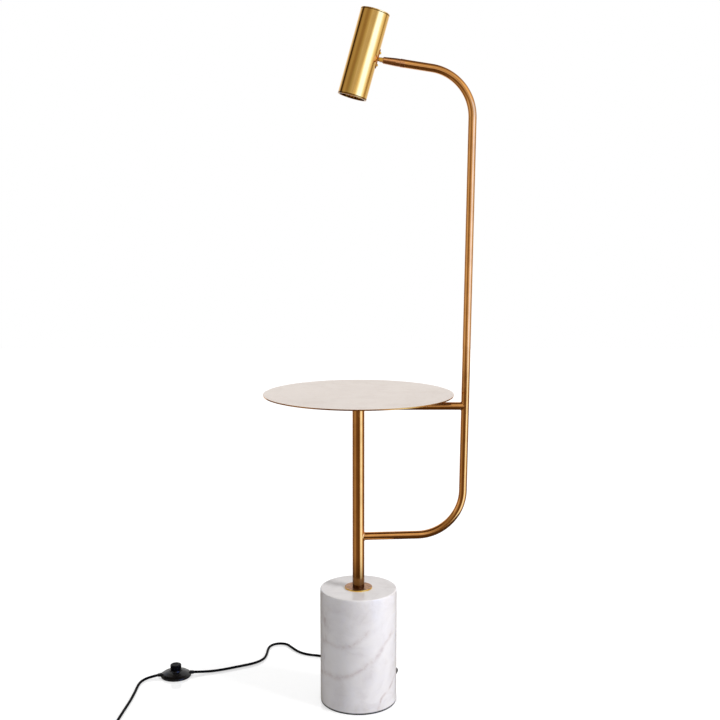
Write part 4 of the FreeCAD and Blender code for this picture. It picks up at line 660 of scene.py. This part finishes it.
def cord_curve(name, points, replaces):
    """A round cord whose smooth line has the route's points as its control points."""
    curve = bpy.data.curves.new(name, "CURVE")
    curve.dimensions = "3D"
    curve.bevel_depth = CORD / 2 * MM
    curve.bevel_resolution = 5
    curve.resolution_u = 6
    curve.use_fill_caps = True
    spline = curve.splines.new("NURBS")
    spline.points.add(len(points) - 1)
    spline.points.foreach_set("co", np.c_[np.array(points) * MM, np.ones(len(points))].ravel())
    spline.order_u = 3
    spline.use_endpoint_u = True
    spline.use_smooth = True
    curve.materials.append(finish["black_cord"])
    piece = placed(name, curve)
    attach(piece, "stand")
    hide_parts(*replaces)
    return piece


LAMP_ROUTE = [
    EXIT_WAY * 77 + UP * EXIT_HEIGHT, EXIT_WAY * 86.4 + UP * EXIT_HEIGHT, (79.9, 62.2, 31.4),
    (70.8, 74.1, 11.6),
    *on_floor(
        (61, 89.1), (46, 108), (15, 143), (-30, 176), (-80, 201), (-112, 208), (-133, 223.5),
        (-151.5, 252.5), (-160, 266), (-174, 271), (-188, 267), (-197, 255.5), (-200.5, 240), (-201, 200),
        (-208, 178), (-226, 160), (-256, 145), (-288, 128.5), (-319, 118.5),
    ),
    switch_port(1),
]
MAINS_ROUTE = [
    switch_port(-1), (-431, 91.5, 3.4),
    *on_floor(
        (-442.5, 81), (-448.3, 65.5), (-449.5, 47), (-449, 18), (-450, -18), (-453, -58), (-456, -100)
    ),
    (-457.025, -138, 3.45), (-457.025, -160, 3.45),
]
AFTER_COIL = [
    (-453.575, -184, 9.35), (-453.575, -196, 9.35), (-447, -213, 8.6), (-434, -225, 7.6), (-417, -230, 6.85),
    PLUG - (22, 0, 0), PLUG - (4, 0, 0),
]
TURN_POINTS = 16


def coil_route():
    """Five turns in two layers: the radius falls by half a pitch each half turn, the line climbs to the
    upper layer between half turns 5 and 6, and the radius grows again. The control points stand out by
    what the spline cuts off between them."""
    widest, tightest, half_pitch, low, climb = 37.625, 20.375, 3.45, 3.45, 5.9
    half_turns = np.arange(0, 10.001, 2 / TURN_POINTS)
    inward = widest - half_pitch * np.minimum(half_turns, 5)
    outward = tightest + half_pitch * np.maximum(half_turns - 6, 0)
    radius = np.where(half_turns < 5.5, inward, outward)
    radius = radius / (0.75 + 0.25 * np.cos(2 * np.pi / TURN_POINTS))
    height = low + climb * np.clip(half_turns - 5, 0, 1)
    angle = np.pi * (1 + half_turns)
    return np.stack([COIL[0] + radius * np.cos(angle), COIL[1] + radius * np.sin(angle), height], 1)


def ribbed_relief():
    """Tapered sleeve with ribs: its radius grows evenly towards the plug, with rings cut into it."""
    length, inside, thin, widening, cut, pitch = 24, 2.66, 3.2, 1.8, 0.35, 3.4
    along = np.linspace(-length, 0.5, 197)
    taper = thin + (along + length) / length * widening
    rib = cut * np.tanh(4 * np.sin(2 * np.pi * (along + length) / pitch)) - cut
    rib = np.where((along > 3 - length) & (along < -3), rib, 0)
    outline = np.stack([taper + rib, along], 1)
    outline = np.concatenate([[(inside, -length)], outline, [(0, 0.5)]])
    return surface("plug_relief_skin", turned(outline, PLUG, (1, 0, 0), 48), "black_plastic", "stand",
                   ["plug_relief"])


def make_switch():
    """Domed housing turned from its outline, with a tapered port on each side, and its capped button."""
    housing = rounded(
        [(29.05, 1), (31.25, 1), (31.25, 4.4), (26.25, 7.8), (18.25, 11), (13.1, 12.6), (12.5, 14.2),
         (10.7, 14.2), (10.7, 10.4), (18.25, 8.6), (25.65, 5.4), (29.05, 3)],
        {2: 1.6, 3: 6, 4: 6, 6: 0.5}, closed=True,
    )
    port = np.array([(2.75, 29), (4.15, 29), (4.15, 29.35), (3.35, 36.7), (3.1, PORT_REACH),
                     (2.75, PORT_REACH), (2.75, 29)])
    centre = SWITCH + UP * PORT_HEIGHT
    grids = [turned(housing, SWITCH, spokes=192)]
    grids += [turned(port, centre, SWITCH_WAY * side, 48) for side in (-1, 1)]
    shell = surface("switch_shell", grids, "black_gloss", "stand", ["switch_housing"])
    button = rounded(
        [(0, 25), (0, 22.6), (8.3, 22.6), (8.3, 8.2), (12.3, 8.2), (12.3, 9.6), (10.3, 9.6), (10.3, 19.2),
         (11.2, 19.2), (11.2, 25.6), (7.3, 25.6)],
        {9: 1.8, 10: 4}, steps=10, closed=True,
    )
    surface("switch_cap", turned(button, SWITCH, spokes=128), "black_button", "button",
            ["switch_button"])
    return shell


relief = ribbed_relief()
switch_shell = make_switch()
lamp_cord = cord_curve("lamp_cord", LAMP_ROUTE, ["cord_to_switch"])
mains_cord = cord_curve(
    "mains_cord", [*MAINS_ROUTE, *coil_route(), *AFTER_COIL], ["cord_to_coil", "cord_coil", "cord_to_plug"]
)


# --- Foot, column and table ---


def make_stand():
    """Block, collar, column and table, all turned about the column's axis."""
    block = rounded([(RECESS_RADIUS, PAD), (BASE_RADIUS, PAD), (BASE_RADIUS, BASE_TOP), (BORE, BASE_TOP),
                     (BORE, RECESS_TOP), (RECESS_RADIUS, RECESS_TOP)], {1: 1, 2: 2.5}, steps=8, closed=True)
    collar = rounded([(COLLAR_BORE, BASE_TOP), (COLLAR_RADIUS, BASE_TOP), (COLLAR_RADIUS, COLLAR_TOP),
                      (COLLAR_BORE, COLLAR_TOP)], {2: 0.8}, closed=True)
    inner = COLUMN_RADIUS - COLUMN_WALL
    tube = rounded([(inner, COLLAR_TOP), (COLUMN_RADIUS, COLLAR_TOP), (COLUMN_RADIUS, FLANGE_LOW),
                    (inner, FLANGE_LOW)], closed=True)
    disc = rounded([(0, TABLE_UNDER), (TABLE_RADIUS, TABLE_UNDER), (TABLE_RADIUS, TABLE_TOP), (0, TABLE_TOP)],
                   {1: 0.6, 2: 0.6})
    for name, outline, spokes, look, slot, node in (
        ("marble_block", block, 256, "white_marble", "white_marble", "marble_base"),
        ("collar_disc", collar, 160, "collar_brass", "antique_brass", "base_collar"),
        ("column", tube, 128, "tube_brass", "antique_brass", "column_tube"),
        ("table_disc", disc, 320, "champagne_brass", "champagne_brass", "table_top"),
    ):
        surface(name, turned(outline, spokes=spokes), look, "stand", [node])


def arm_corners():
    """Corners of the arm's centre line: column, two bends, end."""
    rise, lean, fall = np.tan([LOWER_RISE, POLE_LEAN, UPPER_RISE])
    foot = POLE_REACH - lean * BAR_HEIGHT
    low_z = (LOWER_ARM + rise * foot) / (1 - rise * lean)
    top = ARM_END[2] + fall * ARM_END[0]
    high_z = (top - fall * foot) / (1 + fall * lean)
    return np.array([
        (0, 0, LOWER_ARM), (foot + lean * low_z, 0, low_z), (foot + lean * high_z, 0, high_z), ARM_END
    ])


def column_skin(y, z):
    """x = sqrt(r^2 - y^2) on the column, a hair outside its skin."""
    return np.sqrt((COLUMN_RADIUS + 0.05) ** 2 - y**2)


def pole_skin(y, z):
    """x on the near side of the leaning pole, a hair outside its skin."""
    centre = POLE_REACH + np.tan(POLE_LEAN) * (z - BAR_HEIGHT)
    return centre - np.sqrt((ARM_RADIUS + 0.05) ** 2 - y**2) / np.cos(POLE_LEAN)


def column_normals(ring):
    return unit(ring * (1, 1, 0))


def make_arm():
    """The bent tube, its wall turned back inside, coped to the column and welded there."""
    corners = arm_corners()
    centres, ways = bent_line(corners, BEND)
    outer = piped(centres, ways, ARM_RADIUS, 80)
    inner = piped(centres, ways, ARM_RADIUS - ARM_WALL, 80)
    for wall in (outer, inner):
        wall[0] = moved_to(wall[0], ways[0], column_skin)
    tube = np.concatenate([outer, inner[::-1], outer[:1]])
    bead = weld(outer[0], corners[0], ways[0], column_normals(outer[0]), 2.4)
    surface("arm", [tube, bead], "tube_brass", "stand", ["arm_tube"])


def make_bar():
    """Bar under the table: P(i, a) between the column's skin and the pole's, with a bead at both ends."""
    way = np.array([1.0, 0, 0])
    centres = np.array([(0, 0, BAR_HEIGHT), (POLE_REACH, 0, BAR_HEIGHT)])
    wall = piped(centres, np.array([way, way]), BAR_RADIUS, 80)
    wall[0] = moved_to(wall[0], way, column_skin)
    wall[1] = moved_to(wall[1], way, pole_skin)
    ends = [wall[0].mean(0)[None, None] + 0 * wall[:1], wall, wall[1].mean(0)[None, None] + 0 * wall[:1]]
    lean = np.array([np.sin(POLE_LEAN), 0, np.cos(POLE_LEAN)])
    from_pole = wall[1] - centres[1]
    pole_normals = unit(from_pole - (from_pole @ lean)[:, None] * lean)
    beads = [
        weld(wall[0], centres[0], way, column_normals(wall[0]), 2.2),
        weld(wall[1], centres[1], -way, pole_normals, 2.4),
    ]
    surface("table_bar", [np.concatenate(ends), *beads], "tube_brass", "stand",
            ["cross_bar"])


# --- Swivel and head ---


def make_swivel():
    """Ring at the arm's end and tapered sleeve, turned about the arm's line."""
    bore = 4.05
    ring = rounded([(bore, 0.05), (7.9, 0.05), (7.9, 8.5), (bore, 8.5)], {1: 0.1, 2: 0.2}, closed=True)
    sleeve = rounded(
        [(bore, 8.55), (7.0, 8.55), (7.0, 9.0), (7.5, 9.0), (7.5, 16.6), (6.2, SLEEVE_TIP), (5.4, SLEEVE_TIP),
         (5.4, 18.4), (bore, 18.4)],
        {3: 0.2, 4: 6, 5: 0.6}, closed=True,
    )
    for outline, body, node in ((ring, "stand", "swivel_ring"), (sleeve, "swivel", "swivel_sleeve")):
        surface(node + "_skin", turned(outline, ARM_END, ALONG_ARM), "copper_brass", body,
                [node])


def on_arm(across, thick, along):
    """Place from its distances across the arm in its plane, towards the back, and along the arm."""
    side = np.array([np.sin(UPPER_RISE), 0, np.cos(UPPER_RISE)])
    return ARM_END + np.multiply.outer(across, side) + np.multiply.outer(along, ALONG_ARM) + thick * Y


def on_head(out, thick, along):
    """Place from its distances out of the head's axis, towards the back, and up the axis."""
    out, thick, along = np.broadcast_arrays(out, thick, along)
    return MOUTH + out[..., None] * HEAD_OUT + along[..., None] * HEAD_AXIS + thick[..., None] * Y


def make_fork():
    """Spigot in the sleeve's tip, a low bridge, and two cheeks round the pivot."""
    width, cheek, spread, bridge = 3.8, 1.125, 3.475, 0.9
    spigot = rounded([(0, SLEEVE_TIP - 8.5), (5.3, SLEEVE_TIP - 8.5), (5.3, SLEEVE_TIP + 1.2),
                      (0, SLEEVE_TIP + 1.2)], {2: 0.4})
    outline = half_round(SLEEVE_TIP, PIVOT_DISTANCE, width)[:, ::-1]
    middle = np.array([0, PIVOT_DISTANCE])
    cheeks = [
        plate(outline, middle, cheek, 0.35, lambda a, t, l, side=side: on_arm(a, t + side * spread, l))
        for side in (-1, 1)
    ]
    foot = np.array([(-width, 0), (width, 0), (width, bridge), (-width, bridge), (-width, 0)])
    foot = foot + (0, SLEEVE_TIP)
    block = plate(foot, np.array([0, SLEEVE_TIP + bridge / 2]), 4.6, 0.1, on_arm)
    surface("fork", [turned(spigot, ARM_END, ALONG_ARM), *cheeks, block], "knuckle_brass", "swivel",
            ["knuckle_fork"])


def make_strip():
    """Strip bent round the head: P(h, k) at height h, turned y / r round the axis and r away from it, its
    half width y falling as a circle towards both ends; and the tongue that stands on it."""
    height = 17.7 * np.sin(np.linspace(-np.pi / 2, np.pi / 2, 81))[:, None]
    half = np.sqrt(np.clip(25 - np.clip(abs(height) - 12.7, 0, 5) ** 2, 0, None))
    low, high = HEAD_RADIUS + 0.05, HEAD_RADIUS + STRIP_THICKNESS
    across = np.linspace(-0.9, 0.9, 15)
    share = np.concatenate([[-1, -1, -0.96], across, [0.96, 1, 1], across[::-1], [-1]])
    radius = np.concatenate([[low, high - 0.3, high], across * 0 + high, [high, high - 0.3, low],
                             across * 0 + low, [low]])
    turn = half * share / high
    strip = on_head(radius * np.cos(turn), radius * np.sin(turn), KNUCKLE_STATION + height)
    outline = half_round(HEAD_RADIUS + 0.6, PIVOT_OUT, 3.6) + (0, KNUCKLE_STATION)
    middle = np.array([PIVOT_OUT, KNUCKLE_STATION])
    tongue = plate(outline, middle, 1.8, 0.3, on_head)
    surface("strip_and_tongue", [strip, tongue], "shaded_strip_brass", "head", ["knuckle_tongue"])


def make_side_screws():
    """Domes P(y, z) = sqrt(R^2 - y^2 - z^2) above the strip, cut by a slot along the head, and shanks."""
    ball, sink, slot, floor = 2.6, 0.3, 0.35, 1.5
    rim = np.sqrt(ball**2 - sink**2)
    outside = HEAD_RADIUS + STRIP_THICKNESS
    flank = rim + (slot - rim) * np.sin(np.linspace(0, np.pi / 2, 14))
    y = np.concatenate([-flank, [-slot, 0, slot], flank[::-1]])[:, None]
    cut = np.concatenate([[False] * 14, [True] * 3, [False] * 14])[:, None]
    reach = np.sqrt(np.clip(rim**2 - y**2, 0, None))
    over = np.linspace(-1, 1, 41)[None]
    z = reach * over
    rise = np.sqrt(np.clip(ball**2 - y**2 - z**2, 0, None)) - sink
    rise = np.where(cut, np.minimum(rise, floor), rise)
    z = np.concatenate([z, z[:, ::-1], z[:, :1]], 1)
    rise = np.concatenate([rise, rise * 0 - 0.3, rise[:, :1]], 1)
    grids = []
    for height in (KNUCKLE_STATION - 11.3, KNUCKLE_STATION + 11.3):
        grids.append(on_head(outside + rise, y, height + z))
        shank = np.array([(0, -5.1), (1.2, -5.1), (1.5, -4.7), (1.5, 0.2), (0, 0.2)])
        grids.append(turned(shank, on_head(outside, 0, height), HEAD_OUT, 32))
    surface("side_screws", grids, "small_brass", "head", ["head_screws"])


def make_head():
    """Shell, cap and front ring of the spot head, turned about its tilted axis."""
    inside, seam, spigot = HEAD_RADIUS - HEAD_WALL, HEAD_RADIUS - 0.8, HEAD_RADIUS - 1.05
    top, lid, joint, mouth = HEAD_LENGTH, HEAD_LENGTH - 2, HEAD_LENGTH - 3, 24.1
    shell = rounded([(inside, 3), (HEAD_RADIUS, 3), (HEAD_RADIUS, joint), (inside, joint)],
                    {1: 0.15, 2: 0.2}, steps=3, closed=True)
    cap = rounded(
        [(0, top), (HEAD_RADIUS, top), (HEAD_RADIUS, lid), (seam, lid), (seam, joint), (spigot, joint),
         (spigot, 149), (spigot - 1.5, 149), (spigot - 1.5, joint), (0, joint)],
        {1: 0.6, 2: 0.15},
    )
    ring = rounded(
        [(mouth, 0), (HEAD_RADIUS, 0), (HEAD_RADIUS, 2), (seam, 2), (seam, 3), (spigot, 3), (spigot, 14),
         (spigot - 1.5, 14), (spigot - 1.5, 6), (mouth, 3)],
        {0: 0.5, 1: 0.5, 2: 0.12}, closed=True,
    )
    for name, outline, node in (
        ("head_tube", shell, "head_shell"), ("head_lid", cap, "head_cap"), ("mouth_ring", ring, "front_ring")
    ):
        surface(name, turned(outline, MOUTH, HEAD_AXIS, 192), "head_brass", "head", [node])


make_stand()
make_arm()
make_bar()
make_swivel()
make_fork()
make_strip()
make_side_screws()
make_head()


# --- Stage ---


def seen_rays(tree):
    """1 for rays from the camera, from gloss and through glass, which show the backdrop."""
    path = tree.add("ShaderNodeLightPath").outputs
    seen = tree.math("MAXIMUM", path["Is Camera Ray"], path["Is Glossy Ray"])
    return tree.math("MAXIMUM", seen, path["Is Transmission Ray"])


def make_world():
    """White all round: full for the rays that show it, dimmer as light on the lamp."""
    world = bpy.data.worlds.new("studio")
    tree = cleared(world)
    light = tree.add("ShaderNodeBackground")
    light.inputs["Color"].default_value = (1, 1, 1, 1)
    tree.set(light.inputs["Strength"], tree.span(seen_rays(tree), 0.0, 1.0, 0.5, 1.0, smooth=False))
    tree.set(tree.add("ShaderNodeOutputWorld").inputs["Surface"], light.outputs[0])
    bpy.context.scene.world = world


def stage_piece(name, points, faces, material):
    mesh = bpy.data.meshes.new(name)
    mesh.from_pydata(points, [], faces)
    mesh.materials.append(material)
    piece = placed(name, mesh)
    return piece


def make_floor():
    """A pale glossy floor, lifted to white for the rays that show it, so that shadows stay on it."""
    tree, shader, _ = new_material("studio_floor")
    shader.inputs["Base Color"].default_value = (0.72, 0.72, 0.72, 1)
    shader.inputs["Roughness"].default_value = 0.03
    shader.inputs["IOR"].default_value = 2.0
    shader.inputs["Emission Color"].default_value = (1, 1, 1, 1)
    tree.set(shader.inputs["Emission Strength"], tree.span(seen_rays(tree), 0.0, 1.0, 0.0, 0.5, smooth=False))
    side = 6.0
    stage_piece(
        "studio_floor", [(-side, -side, 0), (side, -side, 0), (side, side, 0), (-side, side, 0)],
        [(0, 1, 2, 3)], finish["studio_floor"],
    )


# Brightness that the metal sees round the lamp, by degrees to the right of the camera: low on the wall,
# at the pole's height, at the head's height, and overhead.
SCREEN = [
    (-170, 0.95, 0.95, 0.95, 0.2), (-143, 0.95, 0.95, 0.95, 0.2), (-138, 0.15, 0.2, 0.7, 0.7),
    (-128, 0.2, 0.3, 0.65, 0.65), (-120, 0.24, 0.4, 0.2, 0.2), (-114, 0.24, 0.4, 0.04, 0.04),
    (-101, 0.32, 0.5, 0.04, 0.04), (-95, 0.35, 0.56, 0.34, 0.34), (-84, 0.42, 0.7, 0.46, 0.46),
    (-72, 0.52, 0.98, 0.46, 0.46), (-60, 0.56, 0.9, 0.4, 0.37), (-50, 0.38, 0.65, 0.34, 0.32),
    (-39, 0.24, 0.45, 0.35, 0.35), (-23, 0.24, 0.34, 0.52, 0.52), (-10, 0.17, 0.3, 0.64, 0.8),
    (-5, 0.12, 0.3, 0.58, 1.2), (-3, 0.16, 0.85, 0.6, 1.35), (3, 0.16, 0.95, 0.6, 1.35),
    (8, 0.24, 0.8, 0.6, 1.2), (14, 0.18, 0.85, 0.57, 0.95), (20, 0.16, 1.0, 0.64, 0.9),
    (25, 0.34, 1.15, 0.83, 0.9), (30, 0.75, 1.3, 1.03, 1.05), (36, 1.15, 1.5, 1.17, 1.17),
    (42, 1.4, 1.6, 1.23, 1.23), (54, 1.6, 1.6, 1.3, 1.3), (62, 1.55, 1.55, 1.3, 1.3),
    (69, 1.25, 1.3, 1.23, 1.2), (78, 1.05, 1.12, 1.12, 1.1), (87, 0.78, 0.95, 1.05, 1.0),
    (97, 0.45, 0.8, 0.8, 0.75), (102, 0.3, 0.4, 0.6, 0.6), (110, 0.2, 0.4, 0.6, 0.6),
    (118, 0.16, 0.8, 0.72, 0.6), (130, 0.14, 0.8, 0.8, 0.5), (138, 0.14, 0.6, 0.5, 0.3),
    (143, 0.95, 0.95, 0.95, 0.2), (170, 0.95, 0.95, 0.95, 0.2),
]
# What each of those four parts is painted with: rows of red, green and blue, read off where red is the
# brightness. Dim parts are warm, and bright ones so blue that brass shows them white.
TONES = [
    ((0, 0.15, 0.3, 0.5, 0.8, 1.0, 1.2, 1.6), (0, 0.1, 0.23, 0.47, 0.8, 1.05, 1.6, 2.7),
     (0, 0.05, 0.16, 0.4, 0.8, 1.2, 2.2, 5)),
    ((0, 0.15, 0.3, 0.5, 0.8, 1.0, 1.2, 1.5), (0, 0.1, 0.23, 0.47, 0.8, 1.1, 1.65, 2.35),
     (0, 0.05, 0.16, 0.4, 0.8, 1.4, 2.8, 6.5)),
    ((0, 0.15, 0.3, 0.45, 0.55, 0.6, 0.74, 1.03, 1.15, 1.3),
     (0, 0.135, 0.3, 0.47, 0.55, 0.62, 0.85, 1.26, 1.72, 2.1),
     (0, 0.12, 0.25, 0.41, 0.56, 0.72, 1.2, 2.1, 4.0, 6)),
    ((0, 0.15, 0.3, 0.5, 0.8, 1.0, 1.2, 1.6), (0, 0.1, 0.23, 0.47, 0.8, 1.03, 1.25, 1.65),
     (0, 0.05, 0.16, 0.4, 0.78, 1.02, 1.25, 1.65)),
]


def make_screen_paint():
    """Light of the painted brightness on the side that faces the lamp; the far side lets all through."""
    material = bpy.data.materials.new("studio_screen")
    tree = cleared(material)
    glow = tree.add("ShaderNodeEmission")
    painted = tree.add("ShaderNodeAttribute", attribute_name="brightness")
    tree.set(glow.inputs["Color"], painted.outputs["Color"])
    both = tree.add("ShaderNodeMixShader")
    tree.set(both.inputs[0], tree.add("ShaderNodeNewGeometry").outputs["Backfacing"])
    tree.set(both.inputs[1], glow.outputs[0])
    tree.set(both.inputs[2], tree.add("ShaderNodeBsdfTransparent").outputs[0])
    tree.set(tree.add("ShaderNodeOutputMaterial").inputs["Surface"], both.outputs[0])
    return material


def make_screen(name, rows, turn_low, turn_high, paint):
    """Cards that only gloss sees, painted by the turn round the lamp. Each row is a radius, a height, the
    four shares of the screen's columns in its brightness, and a plain brightness added to them."""
    columns = np.linspace(turn_low, turn_high, 241)
    turns = [row[0] for row in SCREEN]
    values = np.stack([np.interp(columns, turns, [row[k] for row in SCREEN]) for k in (1, 2, 3, 4)])
    values = np.concatenate([values, np.ones((1, len(columns)))])
    angle = np.radians(columns)
    ring = np.stack([np.sin(angle), -np.cos(angle)], 1)
    points, brightness = [], []
    for radius, height, *shares in rows:
        points += [(radius * x, radius * y, height) for x, y in ring]
        level = np.array(shares) @ values
        tones = TONES[int(np.argmax(shares[:4]))]
        brightness.append(np.stack([np.interp(level, tones[0], tones[k]) for k in range(3)] + [level], 1))
    count = len(columns)
    faces = [(r * count + c, r * count + c + 1, (r + 1) * count + c + 1, (r + 1) * count + c)
             for r in range(len(rows) - 1) for c in range(count - 1)]
    screen = stage_piece(name, points, faces, paint)
    colours = screen.data.color_attributes.new("brightness", "FLOAT_COLOR", "POINT")
    colours.data.foreach_set("color", np.concatenate(brightness).ravel().astype(np.float32))
    screen.visible_camera = screen.visible_diffuse = False
    screen.visible_shadow = screen.visible_transmission = False


def make_lamp():
    """A soft box at the right, facing the middle of the object."""
    light = bpy.data.lights.new("key", "AREA")
    light.shape = "RECTANGLE"
    light.size, light.size_y, light.energy = 1.0, 1.6, 72
    lamp = placed("key", light)
    turn, distance, height, middle = np.radians(63), 2.7, 1.8, 0.6
    lamp.location = (distance * np.sin(turn), -distance * np.cos(turn), height)
    lamp.rotation_euler = (np.arctan2(distance, height - middle), 0, turn)
    lamp.visible_glossy = lamp.visible_transmission = False


make_world()
make_floor()
screen_paint = make_screen_paint()
WALL, ROOF, SKIRT = 3.0, 3.4, 0.003
FLOOR_SCREEN = [(WALL, SKIRT, 1, 0, 0, 0, 0), (0.72, SKIRT, 1, 0, 0, 0, 0), (0.64, SKIRT, 0, 0, 0, 0, 0.1),
                (0.01, SKIRT, 0, 0, 0, 0, 0.1)]
WALL_SCREEN = [(2.2, ROOF, 0, 0, 0, 0.7, 0), (WALL, 3.2, 0, 0, 0, 1, 0), (WALL, 2.3, 0, 0, 0, 1, 0),
               (WALL, 2.0, 0, 0, 1, 0, 0), (WALL, 1.5, 0, 0, 1, 0, 0), (WALL, 1.42, 0, 1, 0, 0, 0),
               (WALL, 0.4, 0, 1, 0, 0, 0), (WALL, 0.2, 1, 0, 0, 0, 0), (WALL, SKIRT, 1, 0, 0, 0, 0)]
ROOF_SCREEN = [(0.01, ROOF, 0, 0, 0, 0.12, 0), (1.0, ROOF, 0, 0, 0, 0.3, 0), (1.5, ROOF, 0, 0, 0, 0.45, 0),
               (2.2, ROOF, 0, 0, 0, 0.7, 0)]
make_screen("studio_floor_screen", FLOOR_SCREEN, -180, 180, screen_paint)
make_screen("studio_wall_screen", WALL_SCREEN, -140, 140, screen_paint)
make_screen("studio_roof_screen", ROOF_SCREEN, -180, 180, screen_paint)
make_lamp()

bpy.context.scene.view_settings.view_transform = "Standard"
